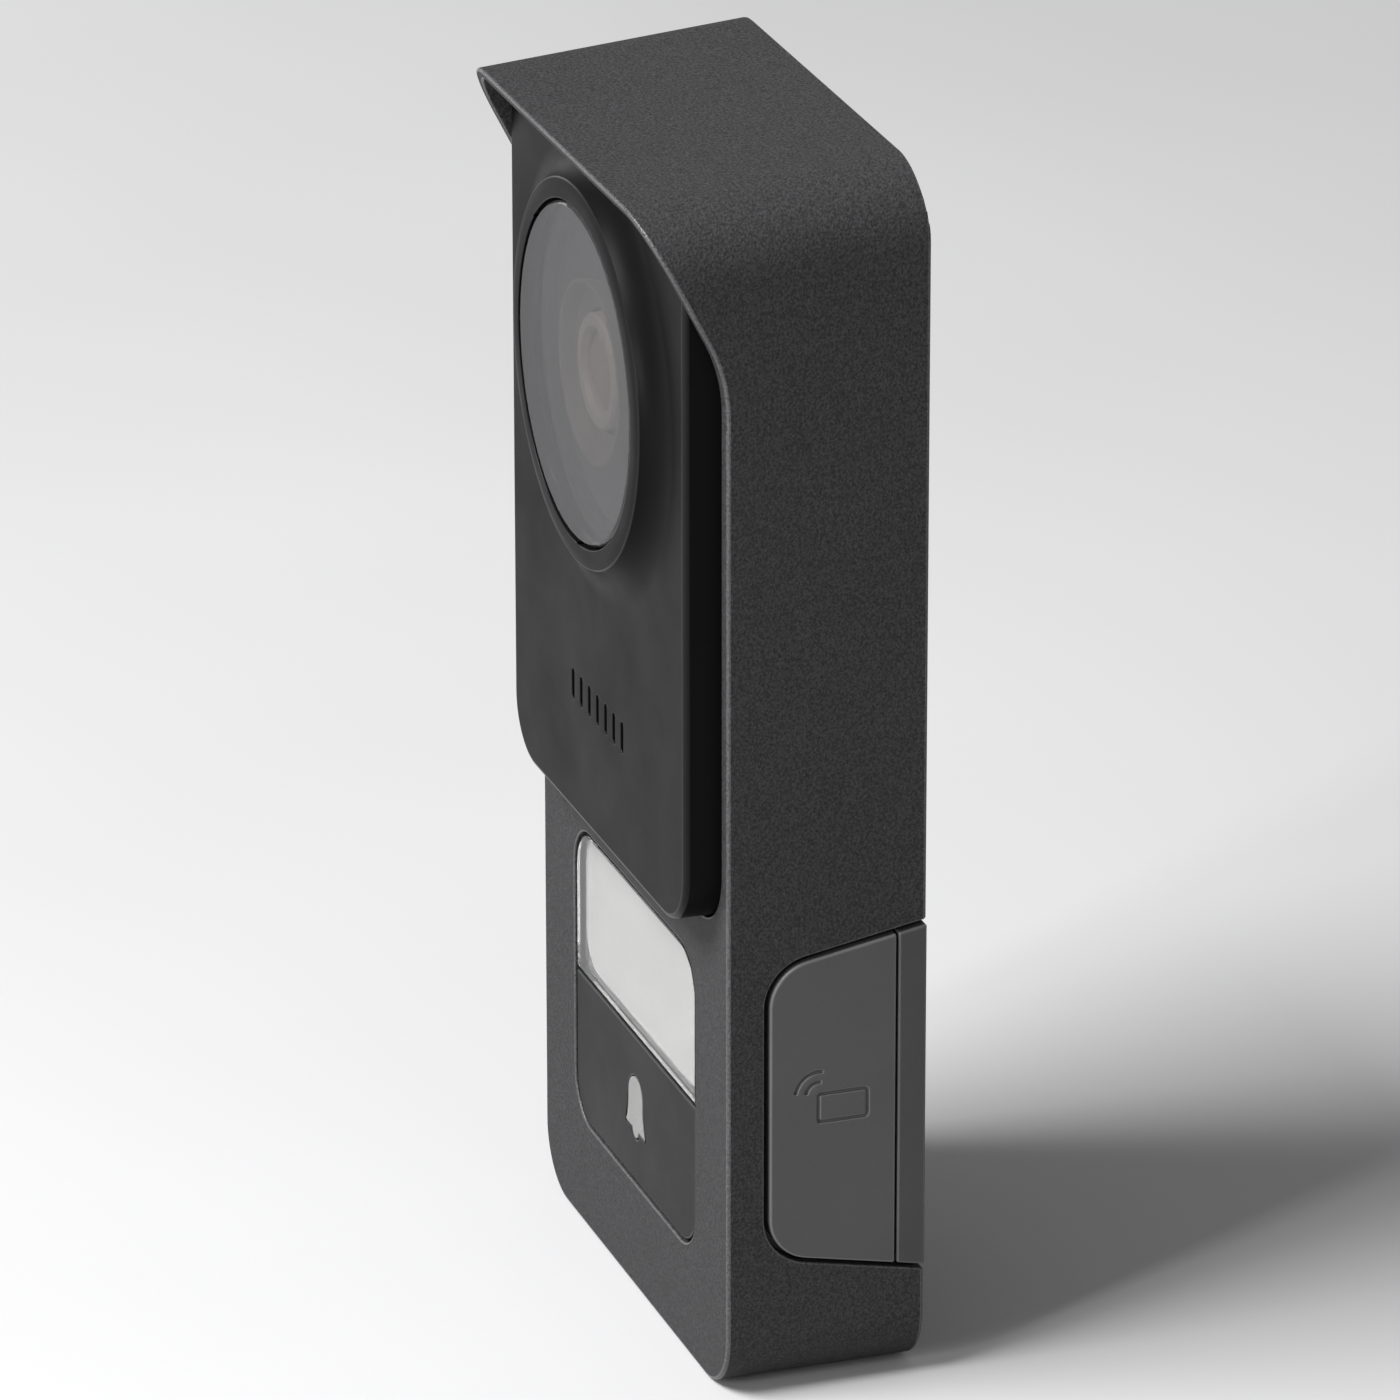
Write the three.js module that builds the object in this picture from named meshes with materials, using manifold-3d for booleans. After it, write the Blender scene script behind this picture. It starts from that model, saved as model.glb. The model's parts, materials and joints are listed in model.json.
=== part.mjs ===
// Video doorbell: the street panel of a door intercom, with a rain visor, a camera, a nameplate,
// a call button and a card reader on its right side. It hooks on a flat wall bracket at the top and
// a clamp screw under its lower edge locks it.
//
// Millimetres, +Z up, +X to the right seen from the street. The wall is the plane Y = 0, the front
// faces -Y, and the origin is on the wall, midway between the panel's sides and 84 mm above its
// lower edge. "Depth" is the distance from the wall, so a point at depth d has Y = -d.
import * as THREE from 'three';
import { mergeVertices } from 'three/addons/utils/BufferGeometryUtils.js';
import Module from 'manifold-3d';

const wasm = await Module();
wasm.setup();

// ---------------------------------------------------------------- driving dimensions

const TOP = 86; // height of the hood's top at the wall
const BOTTOM = -84;
const HEIGHT = TOP - BOTTOM;
const WIDTH = 76.7;
const BODY_DEPTH = 28.2; // wall to the hood's front face
const VISOR_DEPTH = 39.4; // wall to the visor's front edge
const TOP_RADIUS = 10;
const BOTTOM_RADIUS = 9;
const SEAT = 0.3; // gap between two pieces that bear on each other
const FIT = 0.35; // gap round a piece that drops into an opening

// Hood: a cast shell, open at the back, whose roof falls towards the front.
const HOOD_BACK = 0.4; // wall to the hood's rear edge, which reaches round the bracket's plate
const ROOF_BACK = 1.3; // the same at the roof, which nears the wall as the unit tilts
const RELIEF_START = 77.3; // height where the rear edge begins to slope to the roof's
const HOOD_WALL = 2.4;
const HOOD_FRONT_WALL = 2.2;
const ROOF_FALL = 0.082; // fall of the roof for each mm forward
const CEILING_FALL = 0.06; // fall of its underside, so the visor thins towards its edge
const SHOULDER = 60; // everything above this height follows the fall of the roof
const WING_START = 55.5; // height where the side walls begin to sweep forward
const WING_BEND_RADIUS = 22;
const WING_LEAN = THREE.MathUtils.degToRad(27);
const HOOD_INSIDE = BODY_DEPTH - HOOD_FRONT_WALL; // depth of the front wall's inner face

// Camera module, seen through the hood's upper opening.
const MODULE_BOTTOM = -17.55;
const MODULE_RADIUS = 8.75;
const MODULE_DEPTH = 33.2; // wall to the module's front face
const MODULE_WALL = 1.8;
const MODULE_BEVEL = 0.8;
const LENS_HEIGHT = 49.5;
const WINDOW_RADIUS = 23;
const RIM_RADIUS = 25;
const RIM_DEPTH = 36.3; // wall to the front of the lens rim
const FLARE_RADIUS = 31.5; // where the flare round the lens meets the flat face
const FLARE_BEND = 6.5;
const LEDGE_RADIUS = 20.8;
const LEDGE_DEPTH = 33.4;
const MASK_RADIUS = 22.4;
const CAMERA_BOARD_SIZE = 46;
const CAMERA_POST_OFFSET = 19.5;
const LED_CIRCLE = 14.6;

// Speaker behind the sound slots.
const SPEAKER_HEIGHT = 1.5;
const SLOT_COUNT = 7;
const SLOT_PITCH = 3.4;
const SLOT_WIDTH = 1.1;
const SLOT_LENGTH = 4.4;

// Opening for the nameplate and the call button.
const KEY_HALF_WIDTH = 25.4;
const KEY_TOP = -24.7;
const KEY_BOTTOM = -68.6;
const KEY_RADIUS = 6.5;
const KEY_SPLIT = -46.7;
const KEY_GAP = 0.5;
const KEY_FACE = 28; // wall to the faces of nameplate and button
const KEY_WALL = 1.6;
const FLANGE_BACK = 24.5;
const FLANGE_WIDTH = 1.1;
const FLANGE_FRONT = HOOD_INSIDE - SEAT;
const SWITCH_HEIGHT = -63.5;
const BELL_HEIGHT = -57.2;

// Inner body and rear casing.
const CHASSIS_INSET = HOOD_WALL + FIT;
const CHASSIS_WALL = 1.6;
const CHASSIS_BACK = 4.65;
const CHASSIS_FRONT = 25.6;
const CASING_SEAM = CHASSIS_BACK - SEAT;
const CASING_BACK = 1.3; // wall to the rear casing's flat face
const CASING_WALL = 1.8;
const TONGUE_INSET = 5.55;
const TONGUE_WALL = 1.2;

// Card-reader panel in the cut-out of the hood's right side. Its edges spread to the back.
const PANEL_FRONT = 23;
const PANEL_TOP = -17.8;
const PANEL_TOP_FALL = 0.181;
const PANEL_BOTTOM = -68.7;
const PANEL_BOTTOM_RISE = 0.206;
const PANEL_RADIUS = 7;
const PANEL_GAP = 0.7;
const PANEL_PROUD = 0.3;
const ENGRAVING = 0.35;

// Boards, as the depth of the back and the front face.
const MAIN_BOARD = { near: 9, far: 10.4 };
const FRONT_BOARD = { near: 17.4, far: 18.8 };
const CAMERA_BOARD = { near: 17, far: 18.2 };
const BOARD_PINS = [[-26.6, 56], [26.6, -18.5]];

// Screws through the stack of rear casing, inner body and front pieces.
const SCREW_PLACES = [[-29, 72], [29, 72], [-29, -75], [29, -75]];
const SCREW_RADIUS = 1.5;
const SCREW_HOLE = 1.8;
const SCREW_HEAD_RADIUS = 2.8;
const BOSS_RADIUS = 3;
const BOSS_BACK = 21;

// Wall bracket.
const PLATE = 1;
const PLATE_HALF_WIDTH = 35.5;
const PLATE_BOTTOM = -81.1;
const PLATE_TOP = 76.7;
const PIVOT_HEIGHT = 74.5;
const PIVOT_DEPTH = 2.6;
const PIVOT_RADIUS = 0.9;
const HOOK_X = 20;
const HOOK_WIDTH = 8;
const CLAMP_DEPTH = 6; // depth of the clamp screw's axis
const CABLE_WINDOW = { halfWidth: 14, bottom: 14, top: 40 };

// Terminals and volume trimmer on the back of the main board.
const POLE_COUNT = 4;
const POLE_PITCH = 5.08;
const TERMINAL_HEIGHT = 27;
const TRIMMER = { x: 22, z: 2 };
const MICROPHONE = { x: -18, depth: 19 };

// ---------------------------------------------------------------- outlines and solids

/** Closed outline through corners [x, y, radius], each rounded by a true arc. */
function outline(corners) {
  const shape = new THREE.Shape();
  const points = corners.map(([x, y]) => new THREE.Vector2(x, y));
  const count = points.length;
  points.forEach((point, i) => {
    const radius = corners[i][2] ?? 0;
    const before = points[(i + count - 1) % count].clone().sub(point).normalize();
    const after = points[(i + 1) % count].clone().sub(point).normalize();
    const half = Math.acos(before.dot(after)) / 2;
    const start = point.clone().addScaledVector(before, radius / Math.tan(half));
    const end = point.clone().addScaledVector(after, radius / Math.tan(half));
    const toCentre = before.clone().add(after).setLength(radius / Math.sin(half));
    const centre = point.clone().add(toCentre);
    if (i === 0) shape.moveTo(start.x, start.y);
    else shape.lineTo(start.x, start.y);
    if (radius === 0) return;
    const from = start.sub(centre).angle();
    const to = end.sub(centre).angle();
    shape.absarc(centre.x, centre.y, radius, from, to, before.cross(after) > 0);
  });
  shape.closePath();
  return shape;
}

/** Rectangle outline with one corner radius. */
function rectangle(x0, x1, y0, y1, radius = 0) {
  return outline([[x0, y0, radius], [x1, y0, radius], [x1, y1, radius], [x0, y1, radius]]);
}

/** A band of the given thickness along a curve in the outline plane. */
function strip(curve, thickness, steps) {
  const sides = [[], []];
  for (let i = 0; i <= steps; i += 1) {
    const point = curve.getPoint(i / steps);
    const tangent = curve.getTangent(i / steps);
    const aside = new THREE.Vector2(-tangent.y, tangent.x).multiplyScalar(thickness / 2);
    sides[0].push(point.clone().add(aside));
    sides[1].unshift(point.clone().sub(aside));
  }
  return new THREE.Shape([...sides[0], ...sides[1]]);
}

/** Prism over an outline in X and Z, between two depths. A bevel rounds both ends. */
function slab(shape, near, far, { bevel = 0, arcSteps = 2, bevelSteps = 2 } = {}) {
  const geometry = new THREE.ExtrudeGeometry(shape, {
    depth: far - near - 2 * bevel,
    curveSegments: arcSteps,
    bevelEnabled: bevel > 0,
    bevelThickness: bevel,
    bevelSize: bevel,
    bevelOffset: -bevel,
    bevelSegments: bevelSteps,
  });
  return geometry.rotateX(Math.PI / 2).translate(0, -near - bevel, 0);
}

/** Prism over an outline in depth and Z, between two X values. */
function sideSlab(shape, x0, x1, arcSteps = 2) {
  const geometry = new THREE.ExtrudeGeometry(shape, {
    depth: x1 - x0,
    curveSegments: arcSteps,
    bevelEnabled: false,
  });
  const turn = new THREE.Matrix4().makeBasis(
    new THREE.Vector3(0, -1, 0),
    new THREE.Vector3(0, 0, 1),
    new THREE.Vector3(-1, 0, 0),
  );
  return geometry.applyMatrix4(turn).translate(x1, 0, 0);
}

/** Box between two X values, two depths and two heights. */
function block(x0, x1, near, far, z0, z1) {
  const geometry = new THREE.BoxGeometry(x1 - x0, far - near, z1 - z0);
  return geometry.translate((x0 + x1) / 2, -(near + far) / 2, (z0 + z1) / 2);
}

/** Round rod along Y between two depths. */
function rod(radius, near, far, x = 0, z = 0, sides = 12) {
  const geometry = new THREE.CylinderGeometry(radius, radius, far - near, sides);
  return geometry.translate(x, -(near + far) / 2, z);
}

/** Round rod along Z between two heights, at a depth. */
function post(radius, z0, z1, x, depth, sides = 16) {
  const geometry = new THREE.CylinderGeometry(radius, radius, z1 - z0, sides);
  return geometry.rotateX(Math.PI / 2).translate(x, -depth, (z0 + z1) / 2);
}

/** Body turned about the Y axis from a profile of [radius, depth] points. */
function turned(profile, sides = 24) {
  const points = profile.map(([radius, depth]) => new THREE.Vector2(radius, -depth));
  if (THREE.ShapeUtils.area(points) < 0) points.reverse();
  const onAxis = points[0].x === 0 && points[points.length - 1].x === 0;
  if (!onAxis) points.push(points[0].clone());
  return new THREE.LatheGeometry(points, sides);
}

/** Solid for cutting and joining, from a closed geometry. */
function solid(geometry) {
  const bare = geometry.clone();
  bare.deleteAttribute('normal');
  bare.deleteAttribute('uv');
  const merged = mergeVertices(bare, 1e-4);
  const corners = merged.index.array;
  const kept = [];
  for (let i = 0; i < corners.length; i += 3) {
    const [a, b, c] = [corners[i], corners[i + 1], corners[i + 2]];
    if (a !== b && b !== c && c !== a) kept.push(a, b, c);
  }
  return new wasm.Manifold(new wasm.Mesh({
    numProp: 3,
    vertProperties: Float32Array.from(merged.getAttribute('position').array),
    triVerts: Uint32Array.from(kept),
  }));
}

/** First geometry with others joined to it. */
function joined(first, ...others) {
  return others.reduce((sum, next) => sum.add(asSolid(next)), asSolid(first));
}

/** First geometry with others cut out of it. */
function cut(first, ...others) {
  return others.reduce((rest, next) => rest.subtract(asSolid(next)), asSolid(first));
}

/** What two geometries share. */
function common(first, second) {
  return asSolid(first).intersect(asSolid(second));
}

function asSolid(shape) {
  return shape instanceof THREE.BufferGeometry ? solid(shape) : shape;
}

/** Geometry for a mesh, from a solid. */
function asGeometry(shape) {
  if (shape instanceof THREE.BufferGeometry) return shape;
  const mesh = shape.getMesh();
  const geometry = new THREE.BufferGeometry();
  geometry.setAttribute('position', new THREE.BufferAttribute(mesh.vertProperties, 3));
  geometry.setIndex(new THREE.BufferAttribute(mesh.triVerts, 1));
  geometry.computeVertexNormals();
  return geometry;
}

/** Moves a geometry in its plane: along X and Z. */
function at(geometry, x, z) {
  return geometry.translate(x, 0, z);
}

// ---------------------------------------------------------------- shared forms

/** Everything above the shoulder sinks with depth, as the roof does. */
function withFall(geometry, fall) {
  const position = geometry.getAttribute('position');
  for (let i = 0; i < position.count; i += 1) {
    if (position.getZ(i) < SHOULDER) continue;
    position.setZ(i, position.getZ(i) + fall * position.getY(i));
  }
  return geometry;
}

/** Outline of the whole body, drawn in from its outer wall. */
function bodyOutline(inset) {
  const x = WIDTH / 2 - inset;
  const low = BOTTOM + inset;
  const high = TOP - inset;
  const bottomRadius = BOTTOM_RADIUS - inset;
  const topRadius = TOP_RADIUS - inset;
  return outline([
    [-x, low, bottomRadius],
    [x, low, bottomRadius],
    [x, high, topRadius],
    [-x, high, topRadius],
  ]);
}

function bodyPrism(inset, near, far, fall = CEILING_FALL, arcSteps = 2) {
  return withFall(slab(bodyOutline(inset), near, far, { arcSteps }), fall);
}

/** Room for the bracket's tab and clamp screw, grown all round. */
function clampPocket(grow) {
  return block(-8 - grow, 8 + grow, -1, 12.6 + grow, -HEIGHT, -75.2 + grow);
}

/** The sealed inside of the unit, drawn in by an inset: it steps round the clamp pocket. */
function sealedPrism(inset, near, far) {
  return cut(bodyPrism(inset, near, far), clampPocket(inset - CHASSIS_INSET));
}

/** Ring that follows the sealed inside's outline. */
function sealedRing(inset, thickness, near, far) {
  return cut(sealedPrism(inset, near, far), sealedPrism(inset + thickness, near - 1, far + 1));
}

/** Outline of the camera module, drawn in from the hood's upper opening. */
function moduleOutline(inset) {
  const x = WIDTH / 2 - HOOD_WALL - inset;
  const top = TOP - HOOD_WALL - inset;
  const bottom = MODULE_BOTTOM + inset;
  const topRadius = TOP_RADIUS - HOOD_WALL - inset;
  const bottomRadius = MODULE_RADIUS - inset;
  return outline([
    [-x, bottom, bottomRadius],
    [x, bottom, bottomRadius],
    [x, top, topRadius],
    [-x, top, topRadius],
  ]);
}

function modulePrism(inset, near, far, options) {
  return withFall(slab(moduleOutline(inset), near, far, options), CEILING_FALL);
}

/** Outline of the opening for nameplate and button, drawn in by an inset. */
function keyOutline(inset) {
  const x = KEY_HALF_WIDTH - inset;
  return rectangle(-x, x, KEY_BOTTOM + inset, KEY_TOP - inset, KEY_RADIUS - inset);
}

/** The part of a key shape above the split, or the part below it. */
function aboveSplit(shape) {
  const far = WIDTH;
  return common(shape, block(-far, far, 0, far, KEY_SPLIT + KEY_GAP / 2, 0));
}

function belowSplit(shape) {
  const far = WIDTH;
  return common(shape, block(-far, far, 0, far, -far * 2, KEY_SPLIT - KEY_GAP / 2));
}

/** Side view of the card-reader panel: x is depth, y is height. */
function panelOutline(inset) {
  const front = PANEL_FRONT - inset;
  const topAt = (depth) => PANEL_TOP - inset - PANEL_TOP_FALL * depth;
  const bottomAt = (depth) => PANEL_BOTTOM + inset + PANEL_BOTTOM_RISE * depth;
  return outline([
    [-1, bottomAt(-1), 0],
    [front, bottomAt(front), PANEL_RADIUS - inset],
    [front, topAt(front), PANEL_RADIUS - inset],
    [-1, topAt(-1), 0],
  ]);
}

/** Panel block that fills the cut-out between two depths. */
function panelBlock(near, far) {
  const inner = WIDTH / 2 - CHASSIS_INSET - 0.6;
  const outer = WIDTH / 2 + PANEL_PROUD;
  const whole = sideSlab(panelOutline(PANEL_GAP), inner, outer, 3);
  return common(whole, block(0, WIDTH, near, far, -HEIGHT, HEIGHT));
}

/** Outline of the cable window in the bracket, drawn in for the one in the casing. */
function cableWindow(inset, radius) {
  const { halfWidth, bottom, top } = CABLE_WINDOW;
  return rectangle(-halfWidth + inset, halfWidth - inset, bottom + inset, top - inset, radius);
}

/** Bell sign: a domed bell with a small clapper under its rim. */
function bellOutline(grow) {
  const rim = 4 + grow;
  const waist = 2.9 + grow;
  const crown = 4.3 + grow;
  const foot = -3.4 - grow;
  const clapper = 1.2 + grow;
  const shape = new THREE.Shape();
  shape.moveTo(-rim, foot);
  shape.quadraticCurveTo(-waist, foot + 1.6, -waist, 0.6);
  shape.absarc(0, crown - waist, waist, Math.PI, 0, true);
  shape.lineTo(waist, 0.6);
  shape.quadraticCurveTo(waist, foot + 1.6, rim, foot);
  shape.lineTo(clapper, foot);
  shape.absarc(0, foot, clapper, 0, -Math.PI, true);
  shape.closePath();
  return shape;
}

// ---------------------------------------------------------------- finishes

const LOOKS = {
  powderCoat: { color: 0x3c3c3e, roughness: 0.72, metalness: 0.1 },
  satinBlack: { color: 0x1d1d1f, roughness: 0.38, metalness: 0 },
  innerPlastic: { color: 0x2b2b2d, roughness: 0.55, metalness: 0 },
  rubber: { color: 0x151515, roughness: 0.85, metalness: 0 },
  silicone: { color: 0x8d8f90, roughness: 0.7, metalness: 0 },
  smokedWindow: { color: 0x6f7072, roughness: 0.1, metalness: 0 },
  lensGlass: { color: 0x4a4456, roughness: 0.03, metalness: 0 },
  clearCover: { color: 0xdfe1e2, roughness: 0.12, metalness: 0 },
  whiteCard: { color: 0xf0f0ee, roughness: 0.8, metalness: 0 },
  milkyPlastic: { color: 0xd9dad6, roughness: 0.45, metalness: 0 },
  greenBoard: { color: 0x1f4d33, roughness: 0.5, metalness: 0 },
  whiteBoard: { color: 0xd8d8d2, roughness: 0.5, metalness: 0 },
  blackPlastic: { color: 0x1a1a1a, roughness: 0.5, metalness: 0 },
  greenPlastic: { color: 0x2f7d46, roughness: 0.45, metalness: 0 },
  bluePlastic: { color: 0x2d4f86, roughness: 0.45, metalness: 0 },
  steel: { color: 0xa9abad, roughness: 0.35, metalness: 1 },
  darkSteel: { color: 0x2a2b2c, roughness: 0.5, metalness: 0.7 },
  tin: { color: 0xc3c4c2, roughness: 0.3, metalness: 1 },
  copper: { color: 0xb36a3c, roughness: 0.35, metalness: 1 },
  flexFilm: { color: 0xb9772c, roughness: 0.4, metalness: 0 },
  paperCone: { color: 0x232323, roughness: 0.9, metalness: 0 },
  ledLens: { color: 0x3a2f3f, roughness: 0.15, metalness: 0 },
  whiteLed: { color: 0xe6dfae, roughness: 0.3, metalness: 0 },
};

function piece(parent, name, shape, look, place = [0, 0, 0]) {
  const mesh = new THREE.Mesh(asGeometry(shape), new THREE.MeshStandardMaterial(LOOKS[look]));
  mesh.name = name;
  mesh.position.set(...place);
  parent.add(mesh);
}

// ---------------------------------------------------------------- hood

/** Side view of the hood: flat front, then a sweep forward to the visor's tip. */
function hoodProfile() {
  const centre = BODY_DEPTH + WING_BEND_RADIUS;
  const bendTop = WING_START + WING_BEND_RADIUS * Math.sin(WING_LEAN);
  const bendDepth = centre - WING_BEND_RADIUS * Math.cos(WING_LEAN);
  const rise = HEIGHT;
  const shape = new THREE.Shape();
  shape.moveTo(0, -HEIGHT);
  shape.lineTo(BODY_DEPTH, -HEIGHT);
  shape.lineTo(BODY_DEPTH, WING_START);
  shape.absarc(centre, WING_START, WING_BEND_RADIUS, Math.PI, Math.PI - WING_LEAN, true);
  shape.lineTo(bendDepth + rise * Math.tan(WING_LEAN), bendTop + rise);
  shape.lineTo(0, bendTop + rise);
  shape.closePath();
  return shape;
}

/** Recess for the clamp screw's head, with its slot open to the wall. */
function clampCuts() {
  const recess = block(-4.2, 4.2, 0, 10.2, BOTTOM - 1, -81.8);
  const slot = joined(
    block(-1.9, 1.9, 0, CLAMP_DEPTH, BOTTOM - 1, -79),
    post(1.9, BOTTOM - 1, -79, 0, CLAMP_DEPTH),
  );
  return joined(recess, slot);
}

/** Room behind the roof, so that the unit can tilt on its hooks. */
function tiltRelief() {
  const slope = (ROOF_BACK - HOOD_BACK) / (TOP - RELIEF_START);
  const high = TOP + 4;
  const shape = outline([
    [-2, RELIEF_START],
    [HOOD_BACK, RELIEF_START],
    [HOOD_BACK + slope * (high - RELIEF_START), high],
    [-2, high],
  ]);
  return sideSlab(shape, -WIDTH, WIDTH);
}

function hood() {
  const side = WIDTH;
  const outer = common(
    bodyPrism(0, HOOD_BACK, VISOR_DEPTH + 2, ROOF_FALL, 4),
    sideSlab(hoodProfile(), -side, side, 4),
  );
  const cavity = bodyPrism(HOOD_WALL, 0, HOOD_INSIDE, CEILING_FALL, 3);
  const upperOpening = modulePrism(0, HOOD_INSIDE - 1, VISOR_DEPTH + 4, { arcSteps: 3 });
  const keyOpening = slab(keyOutline(0), HOOD_INSIDE - 1, BODY_DEPTH + 1, { arcSteps: 3 });
  const panelOpening = sideSlab(panelOutline(0), WIDTH / 2 - HOOD_WALL - 1, WIDTH, 3);
  const shell = cut(outer, cavity, upperOpening, keyOpening, panelOpening, tiltRelief());
  const clampBlock = block(-6.2, 6.2, CASING_BACK, 12.2, BOTTOM + 1, -79.8);
  const lowScrews = SCREW_PLACES.slice(2);
  const bosses = lowScrews.map(([x, z]) => rod(BOSS_RADIUS, BOSS_BACK, HOOD_INSIDE + 1, x, z));
  const threads = lowScrews.map(([x, z]) => rod(SCREW_HOLE, 0, BODY_DEPTH - 1, x, z));
  const soundHole = post(0.8, -HEIGHT, BOTTOM + 4, MICROPHONE.x, MICROPHONE.depth, 12);
  return cut(joined(shell, clampBlock, ...bosses), clampCuts(), ...threads, soundHole);
}

// ---------------------------------------------------------------- inner body and rear casing

/** Card with radio waves, engraved in the card-reader panel. */
function cardSign() {
  const surface = WIDTH / 2 + PANEL_PROUD;
  const line = 0.5;
  const frame = rectangle(8.4, 15.8, -45.1, -40.6, 0.6);
  frame.holes.push(rectangle(8.4 + line, 15.8 - line, -45.1 + line, -40.6 - line, 0.2));
  const waves = [1.9, 3.4].map((radius) => {
    const arc = new THREE.EllipseCurve(15.4, -41, radius, radius, Math.PI * 0.05, Math.PI * 0.55);
    return sideSlab(strip(arc, line, 6), surface - ENGRAVING, surface + 1);
  });
  return joined(sideSlab(frame, surface - ENGRAVING, surface + 1, 1), ...waves);
}

function innerBody() {
  const outside = sealedPrism(CHASSIS_INSET, CHASSIS_BACK, CHASSIS_FRONT);
  const inside = sealedPrism(CHASSIS_INSET + CHASSIS_WALL, 0, CHASSIS_FRONT - CHASSIS_WALL);
  const posts = SCREW_PLACES.flatMap(([x, z]) => [
    rod(4.6, 17.5, CHASSIS_FRONT - 1, x, z),
    rod(3.2, MAIN_BOARD.near, 18, x, z),
  ]);
  const boardPins = BOARD_PINS.map(([x, z]) => rod(1.6, MAIN_BOARD.far + SEAT, 24, x, z, 12));
  const body = joined(cut(outside, inside), common(joined(...posts), outside), ...boardPins);
  const screwHoles = SCREW_PLACES.flatMap(([x, z]) => [
    rod(SCREW_HOLE, 0, BODY_DEPTH, x, z),
    rod(BOSS_RADIUS + FIT, BOSS_BACK - 0.4, BODY_DEPTH, x, z),
  ]);
  const cameraOpening = slab(rectangle(-23.9, 23.9, -14.6, 74, 4), CHASSIS_FRONT - 4, BODY_DEPTH);
  const keyOpening = slab(keyOutline(-FLANGE_WIDTH - 0.8), CHASSIS_FRONT - 3, BODY_DEPTH);
  const sealGroove = cut(
    modulePrism(0.9, CHASSIS_FRONT - 0.7, BODY_DEPTH),
    modulePrism(2.2, CHASSIS_FRONT - 2, BODY_DEPTH + 1),
  );
  const readerPocket = sideSlab(rectangle(8.2, 18.5, -60, -26, 1), 33, 36.5);
  const soundHole = post(1.2, -HEIGHT, -78, MICROPHONE.x, MICROPHONE.depth, 12);
  return cut(
    joined(body, panelBlock(CHASSIS_BACK, PANEL_FRONT)),
    ...screwHoles,
    cameraOpening,
    keyOpening,
    sealGroove,
    readerPocket,
    soundHole,
    cardSign(),
  );
}

function rearCasing() {
  const band = sealedPrism(CHASSIS_INSET, CASING_BACK, CASING_SEAM);
  const tray = cut(
    joined(band, sealedPrism(TONGUE_INSET, CASING_SEAM - 1, 7)),
    sealedPrism(TONGUE_INSET + TONGUE_WALL, CASING_BACK + CASING_WALL, 12),
  );
  const limits = joined(band, sealedPrism(TONGUE_INSET, CASING_SEAM - 1, 12));
  const cups = SCREW_PLACES.map(([x, z]) => rod(4.3, CASING_BACK, 7.7, x, z));
  const pocketWidth = HOOK_WIDTH + 3;
  const hookPocket = (x, wall) => {
    const half = pocketWidth / 2 + wall;
    return block(x - half, x + half, 0, 7.3 + wall, 70.4 - wall, 75.8 + wall);
  };
  const hooks = [-HOOK_X, HOOK_X];
  const additions = joined(
    ...cups,
    ...hooks.map((x) => hookPocket(x, 1.2)),
    rod(3.2, CASING_BACK, 3.8, TRIMMER.x, TRIMMER.z),
  );
  const cuts = [
    ...SCREW_PLACES.flatMap(([x, z]) => [rod(3.1, 0, 3.4, x, z), rod(SCREW_HOLE, 0, 12, x, z)]),
    ...hooks.map((x) => hookPocket(x, 0)),
    slab(cableWindow(1, 2), 0, 4),
    rod(1.9, 0, 6, TRIMMER.x, TRIMMER.z),
  ];
  const pivotBars = hooks.map((x) => {
    const bar = new THREE.CylinderGeometry(PIVOT_RADIUS, PIVOT_RADIUS, pocketWidth + 0.8, 12);
    return bar.rotateZ(Math.PI / 2).translate(x, -PIVOT_DEPTH, PIVOT_HEIGHT);
  });
  const panel = cut(
    panelBlock(HOOD_BACK, CASING_SEAM),
    block(0, PLATE_HALF_WIDTH + 0.6, 0, CASING_BACK, -HEIGHT, HEIGHT),
  );
  const body = cut(joined(tray, common(additions, limits), panel), ...cuts);
  return joined(body, ...pivotBars);
}

/** Screw with a hexagon socket, its head towards the wall, for one place in the stack. */
function casingScrew() {
  const head = turned([
    [0, 1.5], [SCREW_HEAD_RADIUS, 1.5], [SCREW_HEAD_RADIUS, 3.1],
    [SCREW_RADIUS, 3.1], [SCREW_RADIUS, 26.2], [1, 26.8], [0, 26.8],
  ], 12);
  return cut(head, rod(1.25, 0, 2.5, 0, 0, 6));
}

// ---------------------------------------------------------------- wall bracket

function wallBracket() {
  const plate = slab(outline([
    [-PLATE_HALF_WIDTH, PLATE_BOTTOM, 6.1],
    [PLATE_HALF_WIDTH, PLATE_BOTTOM, 6.1],
    [PLATE_HALF_WIDTH, PLATE_TOP, 6.1],
    [-PLATE_HALF_WIDTH, PLATE_TOP, 6.1],
  ]), 0, PLATE);
  const root = PLATE - 0.2;
  const hang = PIVOT_HEIGHT;
  const hookProfile = outline([
    [root, hang - 2.8], [5.4, hang - 2.8, 0.8], [5.4, hang + 0.6], [4.3, hang + 0.6],
    [4.3, hang - 1.3, 0.4], [root, hang - 1.3],
  ]);
  const hooks = [-HOOK_X, HOOK_X].map((x) => {
    return sideSlab(hookProfile, x - HOOK_WIDTH / 2, x + HOOK_WIDTH / 2);
  });
  const clampTab = block(-6.5, 6.5, root, 10.5, -79.3, -76.9);
  const fixingSlots = [[-1, 1], [1, 1], [-1, -1], [1, -1]].map(([side, end]) => {
    const x = side * 24;
    const z = end * 52;
    return slab(rectangle(x - 1.95, x + 1.95, z - 5, z + 5, 1.94), -1, 3);
  });
  const clampHole = post(SCREW_HOLE, -82, -74, 0, CLAMP_DEPTH);
  return cut(
    joined(plate, ...hooks, clampTab),
    slab(cableWindow(0, 3), -1, 3),
    ...fixingSlots,
    clampHole,
  );
}

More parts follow.
